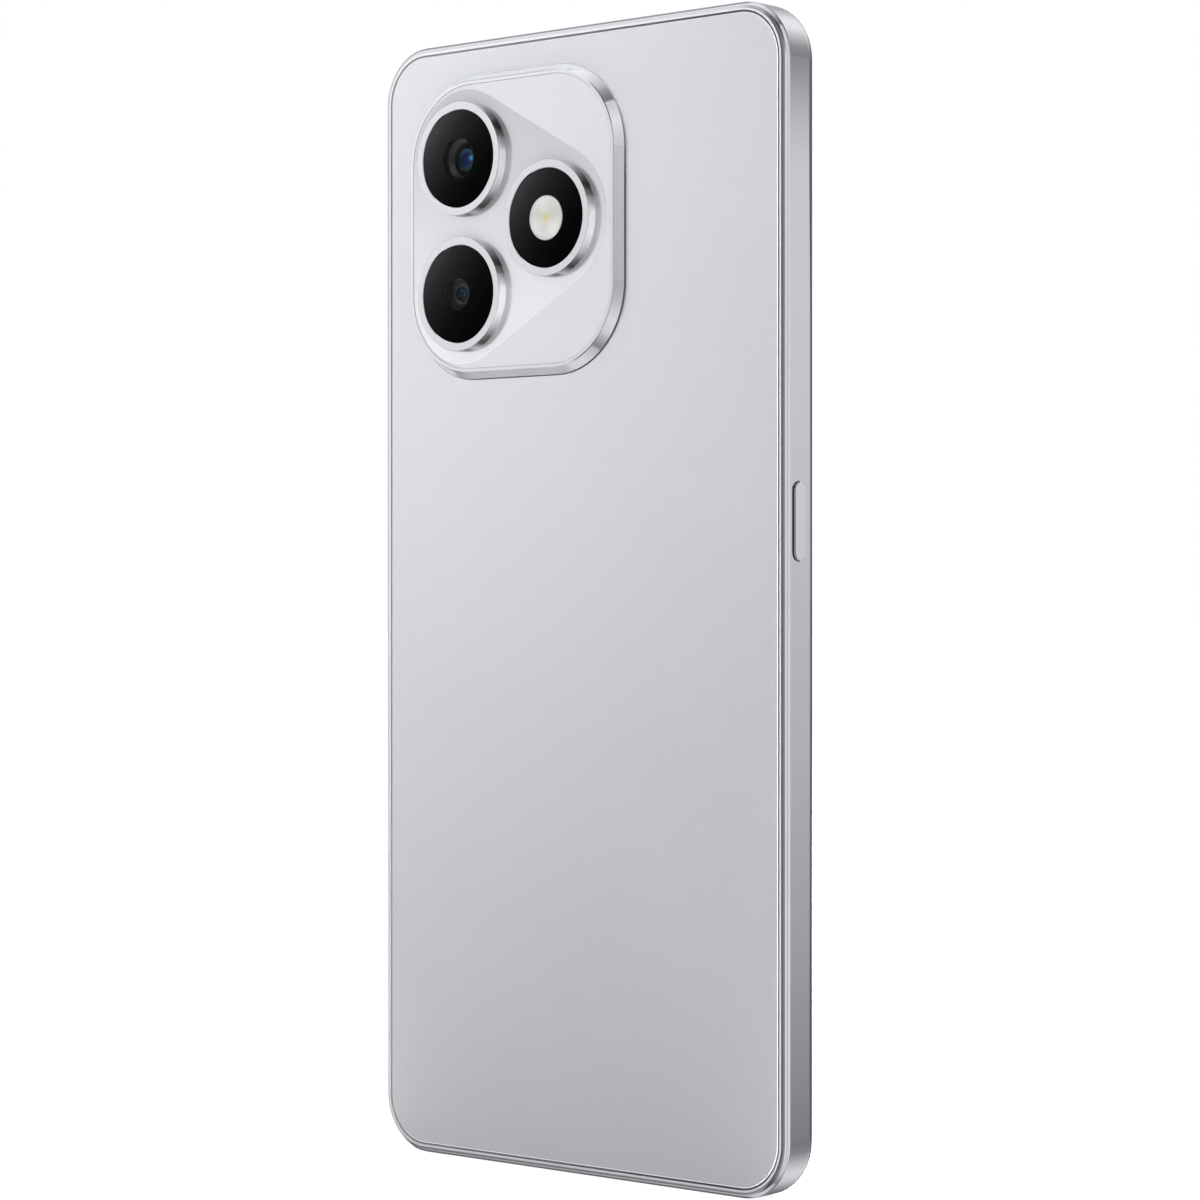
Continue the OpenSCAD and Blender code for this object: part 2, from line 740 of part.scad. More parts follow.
module volume_key() {
    color([0.76, 0.77, 0.79]) place() difference() {
        union() {
            translate([half_w - 1.7, volume_key_z, key_d]) rotate([90, 0, 90])
                key_cap(volume_key_len, 1.7 + key_proud);
            block(half_w - 2.2, half_w - 1.7, volume_key_z - volume_key_len / 2 - 1,
                volume_key_z + volume_key_len / 2 + 1, key_d - 1.5, key_d + 1.5);
            block(half_w - 2.6, half_w - 1.7, volume_key_z - 1.2, volume_key_z + 1.2,
                key_d - 1.2, key_d + 1.2);
            for (s = [-7, 7]) {
                translate([0, volume_key_z + s, key_d]) along_x(half_w - 2.35, half_w - 2.15) circle(0.8);
            }
        }
        translate([half_w - 1.95, volume_key_z, 0]) cylinder(r = 0.45, h = 6);
    }
}

module volume_key_pin() {
    color([0.6, 0.6, 0.62]) place() translate([half_w - 1.95, volume_key_z, 0.85])
        cylinder(r = 0.4, h = 4);
}

// steel strip, flex and dome switches behind a set of keys, drawn for the +X side
module switch_strip(z0, z1, domes) {
    block(34.6 + out, 34.9 + out, z0, z1, 1.2, 5.0);
    block(34.9 + out, 35.05 + out, z0 + 0.5, z1 - 0.5, 1.5, 4.2);
    for (z = domes) {
        translate([0, z, key_d]) along_x(35.05 + out, 35.85 + out) circle(1.2);
    }
}

module key_switches_left() {
    color([0.75, 0.5, 0.15]) place() mirror([1, 0, 0])
        switch_strip(side_key_z - 7.5, side_key_z + 7.5, [side_key_z]);
}

module key_switches_right() {
    color([0.75, 0.5, 0.15]) place()
        switch_strip(power_key_z - 7.5, volume_key_z + 11.5,
            [power_key_z, volume_key_z - 7, volume_key_z + 7]);
}

// ---------------------------------------------------------------- drawing

mid_frame();
chassis_plate();
rear_cover();
rear_cover_adhesive();
island_bezel();
island_plate();
lens_zone_panel();
main_lens_ring();
lower_lens_ring();
flash_ring();
main_lens_glass();
lower_lens_glass();
flash_window();
flash_diffuser();
flash_led();
flash_reflector();
main_camera_housing();
main_camera_barrel();
main_camera_lens();
lower_camera_housing();
lower_camera_lens();
front_camera();
display_glass();
display_panel();
display_bezel();
display_adhesive();
display_flex();
earpiece();
earpiece_mesh();
battery();
battery_adhesive();
battery_flex();
main_board();
shield_can_rear();
shield_can_front();
upper_bracket();
lower_bracket();
sub_board();
main_flex();
antenna_coax();
usb_c_shell();
usb_c_tongue();
loudspeaker_box();
speaker_mesh();
microphones();
vibration_case();
vibration_rotor();
sim_connector();
sim_tray();
sim_tray_seal();
sim_eject_rod();
sim_eject_lever();
side_key();
power_key();
fingerprint_sensor();
volume_key();
volume_key_pin();
key_switches_left();
key_switches_right();
screws();
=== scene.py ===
"""A silver smartphone standing upright, seen from behind.

The CAD nodes carry the shape, and every node gets a procedural material. Finer
meshes stand in for the lens rings, dark windows, lenses and flash parts. Window
centres, a baffle ring, seam gaskets with painted shade, USB-C contacts and the
front camera's window are added. Lengths are metres in the row frame, or mm where a
comment says so.
"""
import math

import bpy
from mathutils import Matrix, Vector


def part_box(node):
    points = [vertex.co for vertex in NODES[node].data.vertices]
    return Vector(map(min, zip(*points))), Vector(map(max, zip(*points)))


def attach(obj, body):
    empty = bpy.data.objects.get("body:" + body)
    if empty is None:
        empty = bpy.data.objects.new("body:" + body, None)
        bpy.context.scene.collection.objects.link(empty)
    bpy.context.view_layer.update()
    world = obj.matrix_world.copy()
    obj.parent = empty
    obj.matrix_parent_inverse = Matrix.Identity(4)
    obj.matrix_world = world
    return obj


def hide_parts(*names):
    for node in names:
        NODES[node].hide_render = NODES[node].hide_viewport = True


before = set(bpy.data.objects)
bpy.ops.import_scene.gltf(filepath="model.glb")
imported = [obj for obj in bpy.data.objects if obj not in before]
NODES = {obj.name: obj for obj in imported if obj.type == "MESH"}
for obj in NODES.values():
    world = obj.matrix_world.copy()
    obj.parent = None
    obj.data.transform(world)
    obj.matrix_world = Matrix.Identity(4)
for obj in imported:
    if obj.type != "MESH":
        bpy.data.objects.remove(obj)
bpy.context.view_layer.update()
MM = 0.001
REAR_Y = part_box("rear_cover")[1].y      # plane of the rear panel
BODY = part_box("mid_frame")
MID_Z = (BODY[0].z + BODY[1].z) / 2


def centre(node):
    lo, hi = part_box(node)
    return (lo + hi) / 2


def top_of(node):
    """Height of a node's rear end over the rear panel, in mm."""
    return (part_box(node)[1].y - REAR_Y) / MM


def foot_of(node):
    """Height of a node's front end over the rear panel, in mm."""
    return (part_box(node)[0].y - REAR_Y) / MM


def half_width(node):
    """Half a node's width, in mm."""
    lo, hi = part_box(node)
    return (hi.x - lo.x) / 2 / MM


# ---------------------------------------------------------------- node helpers

class Tree:
    """Small wrapper that adds and links shader nodes."""

    def __init__(self, tree):
        self.tree = tree
        tree.nodes.clear()

    def add(self, kind, **values):
        node = self.tree.nodes.new(kind)
        for key, value in values.items():
            setattr(node, key, value)
        return node

    def link(self, a, b):
        self.tree.links.new(a, b)

    def put(self, socket, value):
        """Links a socket, or sets a constant on it."""
        if isinstance(value, bpy.types.NodeSocket):
            self.link(value, socket)
        else:
            socket.default_value = value

    def math(self, op, a, b=0.0, c=0.0):
        n = self.add("ShaderNodeMath", operation=op)
        for socket, value in zip(n.inputs, (a, b, c)):
            self.put(socket, value)
        return n.outputs[0]

    def dot(self, vector, axis):
        n = self.add("ShaderNodeVectorMath", operation="DOT_PRODUCT")
        self.link(vector, n.inputs[0])
        n.inputs[1].default_value = axis
        return n.outputs["Value"]

    def span(self, value, a, b, c=0.0, d=1.0, smooth=False):
        """Maps value from a..b to c..d, clamped."""
        n = self.add("ShaderNodeMapRange", clamp=True)
        if smooth:
            n.interpolation_type = "SMOOTHSTEP"
        self.put(n.inputs["Value"], value)
        for name, v in (("From Min", a), ("From Max", b), ("To Min", c), ("To Max", d)):
            n.inputs[name].default_value = v
        return n.outputs["Result"]

    def ramp(self, value, stops, interpolation="LINEAR"):
        """Colours, or grey levels, by value; stops are (value, tone) pairs."""
        n = self.add("ShaderNodeValToRGB")
        ramp = n.color_ramp
        ramp.interpolation = interpolation
        while len(ramp.elements) < len(stops):
            ramp.elements.new(1.0)
        for element, (at, tone) in zip(ramp.elements, stops):
            element.position = at
            tone = (tone,) * 3 if isinstance(tone, (int, float)) else tone
            element.color = (*tone, 1.0)
        self.put(n.inputs[0], value)
        return n.outputs["Color"]

    def mix(self, fac, a, b, blend="MIX"):
        n = self.add("ShaderNodeMix", data_type="RGBA", blend_type=blend)
        self.put(n.inputs["Factor"], fac)
        for name, v in (("A", a), ("B", b)):
            socket = next(s for s in n.inputs if s.name == name and s.type == "RGBA")
            self.put(socket, (*v, 1.0) if isinstance(v, tuple) else v)
        return next(s for s in n.outputs if s.type == "RGBA")

    def place(self, scale=(1, 1, 1), at=(0, 0, 0)):
        """Object coordinates measured from a point, then scaled."""
        tc = self.add("ShaderNodeTexCoord")
        sub = self.add("ShaderNodeVectorMath", operation="SUBTRACT")
        self.link(tc.outputs["Object"], sub.inputs[0])
        sub.inputs[1].default_value = at
        mul = self.add("ShaderNodeVectorMath", operation="MULTIPLY")
        self.link(sub.outputs[0], mul.inputs[0])
        mul.inputs[1].default_value = scale
        return mul.outputs[0]

    def noise(self, scale, detail=3.0, rough=0.5, stretch=(1, 1, 1)):
        n = self.add("ShaderNodeTexNoise")
        self.link(self.place(stretch), n.inputs["Vector"])
        n.inputs["Scale"].default_value = scale
        n.inputs["Detail"].default_value = detail
        n.inputs["Roughness"].default_value = rough
        return n.outputs["Fac"]

    def radius(self, at):
        """Distance from an axis along Y through the point, in metres."""
        n = self.add("ShaderNodeVectorMath", operation="LENGTH")
        self.link(self.place((1, 0, 1), at), n.inputs[0])
        return n.outputs["Value"]

    def bump(self, height, strength, distance, normal=None):
        n = self.add("ShaderNodeBump")
        n.inputs["Strength"].default_value = strength
        n.inputs["Distance"].default_value = distance
        self.put(n.inputs["Height"], height)
        if normal is not None:
            self.link(normal, n.inputs["Normal"])
        return n.outputs["Normal"]


def material(name):
    """A new material with its tree and its Principled shader."""
    mat = bpy.data.materials.new(name)
    mat.use_nodes = True
    tree = Tree(mat.node_tree)
    shader = tree.add("ShaderNodeBsdfPrincipled")
    out = tree.add("ShaderNodeOutputMaterial")
    tree.link(shader.outputs[0], out.inputs["Surface"])
    return mat, tree, shader


def constants(shader, **values):
    """Sets plain values on a Principled shader."""
    names = {"metallic": "Metallic", "ior": "IOR", "specular": "Specular IOR Level",
             "coat": "Coat Weight", "coat_rough": "Coat Roughness",
             "glass": "Transmission Weight", "emit": "Emission Strength"}
    for key, value in values.items():
        shader.inputs[names[key]].default_value = value


def finish(name, colour, rough, rough_vary, vary, cloud, grain, depth, relief,
           stretch=(1, 1, 1), turned=None, **values):
    """A finish with faint cloudy tone, fine grain in its relief and uneven gloss.

    vary is the change in tone. cloud and grain are noise scales per metre, and depth
    and relief are the strength and height of the grain. turned = (start, end, other,
    mirror) repaints the faces turned to the rear, as painted shade by facing: it goes
    over to the other colour, and to that share of the metal's mirror, where the normal's
    part to the rear goes from start to end.
    """
    mat, t, s = material(name)
    clouds = t.noise(cloud, 4.0, 0.55)
    fine = t.noise(grain, 2.0, 0.6, stretch)
    dark = tuple(c * (1 - vary) for c in colour)
    light = tuple(min(c * (1 + vary), 1.0) for c in colour)
    tone = t.ramp(clouds, [(0.32, dark), (0.68, light)])
    base = t.mix(t.span(fine, 0.35, 0.65, 0.0, vary), tone, tuple(c * 0.6 for c in colour))
    if turned is not None:
        start, end, other, mirror = turned
        normal = t.add("ShaderNodeTexCoord").outputs["Normal"]
        share = t.span(t.dot(normal, (0, 1, 0)), start, end)
        base = t.mix(share, base, other)
        t.link(t.math("MULTIPLY_ADD", share, mirror - 1.0, 1.0), s.inputs["Metallic"])
    t.link(base, s.inputs["Base Color"])
    t.link(t.span(t.math("ADD", t.math("MULTIPLY", clouds, 0.6),
                         t.math("MULTIPLY", fine, 0.4)), 0.35, 0.65,
                  max(rough - rough_vary, 0.02), rough + rough_vary),
           s.inputs["Roughness"])
    t.link(t.bump(fine, depth, relief), s.inputs["Normal"])
    constants(s, **values)
    return mat


def paint(nodes, mat):
    for node in nodes:
        for slot in NODES[node].material_slots:
            slot.material = mat


# ---------------------------------------------------------------- silver finishes

FILM_METALLIC = 0.76


def panel_material(name, colour, rough, tone=None, edge=None):
    """Satin silver film under a hard clear skin: fine flake, very faint clouds.

    tone = (z0, z1, lower, upper) multiplies in a painted shade that changes between
    two heights. edge is the colour of the chamfer, which is cut through the film, so it
    is whiter and duller.
    """
    mat, t, s = material(name)
    clouds = t.noise(45.0, 3.0, 0.5)
    flake = t.noise(16000.0, 2.0, 0.7)
    low = tuple(c * 0.985 for c in colour)
    base = t.ramp(clouds, [(0.3, low), (0.7, colour)])
    if tone is not None:
        z0, z1, at_bottom, at_top = tone
        z = t.dot(t.place(), (0, 0, 1))
        shade = t.ramp(t.span(z, z0, z1, smooth=True), [(0.0, at_bottom), (1.0, at_top)])
        base = t.mix(1.0, base, shade, "MULTIPLY")
    sparkle = t.span(flake, 0.42, 0.62, 0.0, 0.05)
    base = t.mix(sparkle, base, (0.5, 0.5, 0.52))
    if edge is not None:
        normal = t.add("ShaderNodeTexCoord").outputs["Normal"]
        facing = t.dot(normal, (0, 1, 0))
        cut = t.math("MULTIPLY", t.span(facing, 0.6, 0.7), t.span(facing, 0.9, 0.97, 1, 0))
        base = t.mix(cut, base, edge)
        t.link(t.math("MULTIPLY", t.math("SUBTRACT", 1.0, cut), FILM_METALLIC),
               s.inputs["Metallic"])
    t.link(base, s.inputs["Base Color"])
    t.link(t.span(t.math("ADD", clouds, t.math("MULTIPLY", flake, 0.3)), 0.45, 0.85,
                  rough - 0.006, rough + 0.01), s.inputs["Roughness"])
    t.link(t.bump(flake, 0.05, 2e-6), s.inputs["Normal"])
    constants(s, metallic=FILM_METALLIC, coat=0.1, coat_rough=0.12, ior=1.45)
    return mat


def build_silver():
    zone_lo, zone_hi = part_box("lens_zone_panel")
    # painted shade: the lens zone goes darker towards its top, in place of a reflection
    # gradient
    zone_painted_shade = (zone_lo.z, zone_hi.z, (1.0, 1.0, 1.0), (0.69, 0.69, 0.695))
    paint(["rear_cover"],
          panel_material("satin_rear_panel", (0.83, 0.84, 0.865), 0.21,
                         edge=(0.9, 0.91, 0.93)))
    paint(["island_plate"], panel_material("satin_island", (0.84, 0.85, 0.87), 0.2))
    paint(["lens_zone_panel"],
          panel_material("satin_lens_zone", (0.96, 0.965, 0.98), 0.2, tone=zone_painted_shade))
    paint(["mid_frame"],
          finish("satin_frame", (0.80, 0.81, 0.83), 0.075, rough_vary=0.012, vary=0.015,
                 cloud=120.0, grain=14000.0, depth=0.015, relief=1e-6, metallic=1.0,
                 # painted shade: the lip's rear face goes greyer and half matte
                 turned=(0.9992, 0.9998, (0.72, 0.725, 0.74), 0.4)))
    paint(["side_key", "power_key", "volume_key"],
          finish("satin_keys", (0.90, 0.905, 0.915), 0.11, rough_vary=0.012, vary=0.015,
                 cloud=150.0, grain=14000.0, depth=0.015, relief=1e-6, metallic=1.0,
                 # painted shade: the keys' slanted faces go dark, standing for the shaded
                 # slot round them
                 turned=(0.25, 0.55, (0.24, 0.24, 0.25), 1.0)))
    paint(["sim_tray"],
          finish("tray_metal", (0.80, 0.81, 0.83), 0.16, rough_vary=0.02, vary=0.03,
                 cloud=200.0, grain=14000.0, depth=0.03, relief=1e-6, metallic=1.0))
    paint(["island_bezel"],
          finish("polished_bezel", (0.90, 0.905, 0.92), 0.06, rough_vary=0.012, vary=0.015,
                 cloud=90.0, grain=6000.0, depth=0.006, relief=1e-6, metallic=1.0))


# ---------------------------------------------------------------- inner finishes

def build_inner():
    """Finishes of the inner nodes, and of the small outer ones that aren't silver."""
    f = finish
    plan = [
        (["chassis_plate"],
         f("cast_chassis", (0.55, 0.56, 0.58), 0.5, rough_vary=0.08, vary=0.06, cloud=220,
           grain=5000, depth=0.3, relief=2e-5, metallic=0.9)),
        (["main_camera_barrel", "main_camera_housing", "lower_camera_housing",
          "front_camera"],
         f("camera_black", (0.012, 0.012, 0.013), 0.42, rough_vary=0.08, vary=0.1, cloud=500,
           grain=9000, depth=0.2, relief=1e-5)),
        (["display_bezel"],
         f("bezel_black", (0.012, 0.012, 0.014), 0.3, rough_vary=0.04, vary=0.06, cloud=300,
           grain=9000, depth=0.08, relief=4e-6)),
        (["earpiece", "loudspeaker_box", "upper_bracket", "lower_bracket",
          "usb_c_tongue"],
         f("moulded_black", (0.028, 0.028, 0.030), 0.5, rough_vary=0.08, vary=0.12,
           cloud=350, grain=6000, depth=0.35, relief=1.5e-5)),
        (["rear_cover_adhesive", "display_adhesive", "battery_adhesive"],
         f("foam_tape", (0.035, 0.035, 0.036), 0.85, rough_vary=0.08, vary=0.2, cloud=700,
           grain=4000, depth=0.5, relief=3e-5)),
        (["display_panel"],
         f("panel_stack", (0.015, 0.016, 0.02), 0.18, rough_vary=0.05, vary=0.08, cloud=200,
           grain=7000, depth=0.05, relief=3e-6)),
        (["battery"], battery_material()),
        (["main_board", "sub_board"], board_material()),
        (["battery_flex", "display_flex", "main_flex"], flex_material()),
        (["antenna_coax"],
         f("coax_jacket", (0.05, 0.05, 0.052), 0.38, rough_vary=0.06, vary=0.1, cloud=400,
           grain=5000, depth=0.2, relief=8e-6)),
        (["shield_can_rear", "shield_can_front", "vibration_case", "sim_connector"],
         f("nickel_can", (0.60, 0.60, 0.58), 0.32, rough_vary=0.08, vary=0.05, cloud=260,
           grain=4000, depth=0.15, relief=6e-6, stretch=(1, 1, 12), metallic=1.0)),
        (["usb_c_shell", "sim_eject_rod", "sim_eject_lever", "volume_key_pin",
          "key_switches_left", "key_switches_right"],
         f("drawn_steel", (0.58, 0.58, 0.60), 0.3, rough_vary=0.08, vary=0.05, cloud=300,
           grain=3000, depth=0.2, relief=5e-6, stretch=(1, 1, 14), metallic=1.0)),
        (["screws"],
         f("zinc_screws", (0.42, 0.42, 0.44), 0.36, rough_vary=0.08, vary=0.1, cloud=900,
           grain=9000, depth=0.2, relief=8e-6, metallic=1.0)),
        (["microphones", "vibration_rotor"],
         f("brass_parts", (0.62, 0.48, 0.22), 0.34, rough_vary=0.08, vary=0.06, cloud=500,
           grain=6000, depth=0.2, relief=6e-6, metallic=1.0)),
        (["sim_tray_seal"],
         f("seal_rubber", (0.42, 0.05, 0.035), 0.6, rough_vary=0.08, vary=0.1, cloud=600,
           grain=8000, depth=0.3, relief=1e-5)),
        (["fingerprint_sensor"],
         f("sensor_glaze", (0.30, 0.305, 0.315), 0.2, rough_vary=0.03, vary=0.03, cloud=300,
           grain=9000, depth=0.04, relief=2e-6, metallic=0.7, coat=0.5, coat_rough=0.06)),
        (["flash_led"],
         f("phosphor_die", (0.85, 0.70, 0.16), 0.6, rough_vary=0.05, vary=0.1, cloud=1500,
           grain=12000, depth=0.4, relief=1e-5)),
        (["flash_reflector"],
         f("reflector_white", (0.8, 0.8, 0.76), 0.35, rough_vary=0.05, vary=0.04, cloud=500,
           grain=6000, depth=0.1, relief=5e-6, coat=0.3, coat_rough=0.1)),
        (["speaker_mesh", "earpiece_mesh"], mesh_material()),
        (["display_glass"],
         f("cover_glass", (0.0022, 0.0022, 0.0026), 0.035, rough_vary=0.012, vary=0.1,
           cloud=60, grain=900, depth=0.01, relief=1e-6, ior=1.5, specular=0.32)),
    ]
    for nodes, mat in plan:
        paint(nodes, mat)


def battery_material():
    """Dark foil pouch with shallow rolled creases."""
    mat, t, s = material("battery_foil")
    crease = t.noise(90.0, 5.0, 0.6, (1, 1, 0.35))
    fine = t.noise(2600.0, 3.0, 0.6)
    t.link(t.ramp(crease, [(0.3, (0.035, 0.036, 0.04)), (0.7, (0.075, 0.077, 0.085))]),
           s.inputs["Base Color"])
    t.link(t.span(fine, 0.3, 0.7, 0.3, 0.46), s.inputs["Roughness"])
    t.link(t.bump(crease, 0.35, 8e-5, t.bump(fine, 0.15, 8e-6)), s.inputs["Normal"])
    constants(s, metallic=0.75)
    return mat


def board_material():
    """Green solder mask over copper tracks."""
    mat, t, s = material("solder_mask")
    brick = t.add("ShaderNodeTexBrick")
    t.link(t.place((620, 620, 620)), brick.inputs["Vector"])
    brick.inputs["Mortar Size"].default_value = 0.03
    tracks = brick.outputs["Fac"]
    cloud = t.noise(300.0, 4.0)
    base = t.ramp(cloud, [(0.3, (0.008, 0.075, 0.035)), (0.7, (0.014, 0.11, 0.05))])
    t.link(t.mix(t.math("MULTIPLY", tracks, 0.5), base, (0.04, 0.26, 0.12)),
           s.inputs["Base Color"])
    t.link(t.span(cloud, 0.3, 0.7, 0.28, 0.4), s.inputs["Roughness"])
    t.link(t.bump(tracks, 0.3, 2e-5), s.inputs["Normal"])
    return mat


def flex_material():
    """Amber film with fine parallel conductors."""
    mat, t, s = material("copper_flex")
    wave = t.add("ShaderNodeTexWave", wave_type="BANDS", bands_direction="X")
    t.link(t.place(), wave.inputs["Vector"])
    wave.inputs["Scale"].default_value = 1400.0
    lines = wave.outputs["Fac"]
    cloud = t.noise(350.0, 3.0)
    base = t.ramp(cloud, [(0.3, (0.34, 0.14, 0.03)), (0.7, (0.46, 0.2, 0.05))])
    t.link(t.mix(t.math("MULTIPLY", lines, 0.4), base, (0.55, 0.3, 0.12)),
           s.inputs["Base Color"])
    t.link(t.span(lines, 0, 1, 0.25, 0.4), s.inputs["Roughness"])
    t.link(t.bump(lines, 0.3, 1e-5), s.inputs["Normal"])
    return mat


def mesh_material():
    """Woven steel gauze, dark between its wires."""
    mat, t, s = material("steel_gauze")
    waves = []
    for direction in ("X", "Z"):
        wave = t.add("ShaderNodeTexWave", wave_type="BANDS", bands_direction=direction)
        t.link(t.place(), wave.inputs["Vector"])
        wave.inputs["Scale"].default_value = 1500.0
        waves.append(wave.outputs["Fac"])
    weave = t.math("MAXIMUM", *waves)
    t.link(t.ramp(weave, [(0.55, (0.01, 0.01, 0.01)), (0.85, (0.30, 0.30, 0.31))]),
           s.inputs["Base Color"])
    t.link(t.span(weave, 0, 1, 0.7, 0.35), s.inputs["Roughness"])
    t.link(t.bump(weave, 0.6, 3e-5), s.inputs["Normal"])
    constants(s, metallic=0.8)
    return mat


# ---------------------------------------------------------------- mesh helpers

def mesh_object(name, verts, faces, mats, face_mats=None, body="phone", slot=None,
                replaced=(), sharp=30.0):
    """Adds a mesh that rides on a body, smooth except past the sharp angle."""
    mesh = bpy.data.meshes.new(name)
    mesh.from_pydata(verts, [], faces)
    mesh.update()
    for mat in mats:
        mesh.materials.append(mat)
    if face_mats:
        for poly, index in zip(mesh.polygons, face_mats):
            poly.material_index = index
    for poly in mesh.polygons:
        poly.use_smooth = True
    mesh.set_sharp_from_angle(angle=math.radians(sharp))
    obj = bpy.data.objects.new(name, mesh)
    bpy.context.scene.collection.objects.link(obj)
    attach(obj, body)
    if replaced:
        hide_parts(*replaced)


def lathe(name, at, profile, mats, band_mats=None, segments=128, wobble=None, **rest):
    """Turns a closed profile of (radius, height over the rear panel) points, in mm.

    A point of radius 0 becomes a single vertex. band_mats gives the material of the
    band after each profile point. wobble(i, j) gives an extra radius and height, in
    mm, for profile point i at segment j.
    """
    verts, rings = [], []
    for i, (r, w) in enumerate(profile):
        if r <= 0:
            rings.append([len(verts)])
            verts.append((at.x, REAR_Y + w * MM, at.z))
            continue
        ring = []
        for j in range(segments):
            dr, dw = wobble(i, j) if wobble else (0.0, 0.0)
            a = 2 * math.pi * j / segments
            ring.append(len(verts))
            verts.append((at.x + (r + dr) * MM * math.cos(a), REAR_Y + (w + dw) * MM,
                          at.z + (r + dr) * MM * math.sin(a)))
        rings.append(ring)
    faces, face_mats = [], []
    count = len(profile)
    for i in range(count):
        a, b = rings[i], rings[(i + 1) % count]
        if len(a) == 1 and len(b) == 1:
            continue
        for j in range(segments):
            k = (j + 1) % segments
            if len(a) == 1:
                face = (a[0], b[k], b[j])
            elif len(b) == 1:
                face = (a[j], a[k], b[0])
            else:
                face = (a[j], a[k], b[k], b[j])
            faces.append(face)
            face_mats.append(band_mats[i] if band_mats else 0)
    mesh_object(name, verts, faces, mats, face_mats, **rest)


# ---------------------------------------------------------------- lens rings

# heights over the rear panel, and radii, in mm
RING_TOP = top_of("main_lens_ring")
RING_FAR = foot_of("main_lens_ring")            # end inside the island
RING_FOOT = top_of("lens_zone_panel") - 0.02    # sunk a little into the lens zone
RING_R = half_width("main_lens_ring")
GLASS_TOP = top_of("main_lens_glass")
GLASS_LOW = foot_of("main_lens_glass")
GLASS_R = half_width("main_lens_glass")
HOLE_R = 7.5            # hole through the island plate
SEAT_R = 6.4            # inner radius of the window seat
LEAN = 0.0875           # the ring's wall leans in by 5 degrees
RIBS = 168
RIB_DEPTH = 0.035
RIB_STEPS = 4           # mesh segments for one rib and its groove
FACE, WALL, SEAT = range(3)     # the ring's materials


def ring_materials(at, tag):
    """Turned face, wall with a painted reflection in light and dark sectors round the ring,
    and dark seat.
    """
    face, t, s = material("ring_face_" + tag)
    r = t.radius(at)
    pitch = 0.00007
    turned = t.math("SINE", t.math("MULTIPLY", r, 2 * math.pi / pitch))
    fine = t.noise(7000.0, 3.0, 0.6)
    t.link(t.ramp(fine, [(0.3, (0.92, 0.93, 0.945)), (0.7, (0.95, 0.96, 0.975))]),
           s.inputs["Base Color"])
    t.link(t.span(fine, 0.3, 0.7, 0.18, 0.23), s.inputs["Roughness"])
    t.link(t.bump(turned, 0.08, 3e-6), s.inputs["Normal"])
    constants(s, metallic=0.95)
    wall, t, s = material("ring_wall_" + tag)
    p = t.place(at=at)
    angle = t.math("ARCTAN2", t.dot(p, (0, 0, 1)), t.dot(p, (-1, 0, 0)))
    turn = t.math("MULTIPLY_ADD", angle, 0.5 / math.pi, 0.5)
    # degrees round the ring, 0 at the key side that shows and 90 up, with the level of the
    # painted reflection
    stops = ((-180, 0.94), (-95, 0.94), (-84, 0.55), (-79, 0.28), (-73, 0.80), (-66, 0.45),
             (-60, 0.10), (-50, 0.35), (-40, 0.75), (-30, 0.92), (-20, 0.97), (2, 0.97),
             (10, 0.80), (17.5, 0.62), (19, 0.36), (26, 0.24), (27.5, 0.10), (33, 0.12),
             (40, 0.36), (50, 0.66), (60, 0.90), (75, 0.94), (180, 0.94))
    painted_reflection = t.ramp(turn, [((degrees + 180) / 360, level) for degrees, level in stops])
    fine = t.noise(9000.0, 3.0)
    t.link(t.mix(t.span(fine, 0.3, 0.7, 0.0, 0.03), painted_reflection, (0.5, 0.5, 0.52)),
           s.inputs["Base Color"])
    t.link(t.span(fine, 0.3, 0.7, 0.05, 0.07), s.inputs["Roughness"])
    t.link(t.bump(fine, 0.01, 1e-6), s.inputs["Normal"])
    constants(s, metallic=1.0)
    seat = finish("ring_seat_" + tag, (0.05, 0.05, 0.052), 0.35, rough_vary=0.05, vary=0.1,
                  cloud=900, grain=9000, depth=0.1, relief=4e-6, metallic=0.6)
    return [face, wall, seat]


def build_rings():
    top, foot = RING_TOP, RING_FOOT
    wall = RING_R - LEAN * (top - 0.40 - foot)
    profile = [
        (SEAT_R, RING_FAR), (HOLE_R, RING_FAR), (HOLE_R, foot), (RING_R - 0.03, foot),
        (RING_R, foot + 0.04), (wall, top - 0.40), (wall - 0.022, top - 0.37),
        (wall - 0.022, top - 0.35), (wall - 0.010, top - 0.33),
        (wall - 0.028, top - 0.14), (wall - 0.045, top - 0.10), (wall - 0.07, top - 0.02),
        (wall - 0.10, top), (GLASS_R + 0.14, top), (GLASS_R + 0.06, top - 0.07),
        (GLASS_R + 0.05, GLASS_LOW - 0.02), (SEAT_R, GLASS_LOW - 0.02)]
    bands = [SEAT] * 3 + [WALL] * 9 + [FACE, WALL] + [SEAT] * 3
    ribbed = {8, 9}         # profile points at the two ends of the ribs

    def wobble(i, j):
        in_groove = i in ribbed and j % RIB_STEPS >= RIB_STEPS // 2
        return (-RIB_DEPTH, 0.0) if in_groove else (0.0, 0.0)

    for node, tag in (("main_lens_ring", "main"), ("lower_lens_ring", "lower"),
                      ("flash_ring", "flash")):
        at = centre(node)
        lathe(tag + "_ring_detail", at, profile, ring_materials(at, tag), bands,
              segments=RIBS * RIB_STEPS, wobble=wobble, slot="lens_ring_metal",
              replaced=(node,), sharp=28.0)


# ---------------------------------------------------------------- windows and lenses

LIT_SIDE = (0.75, 0, 0.66)      # direction of the painted reflection across a window: away from the key side and up
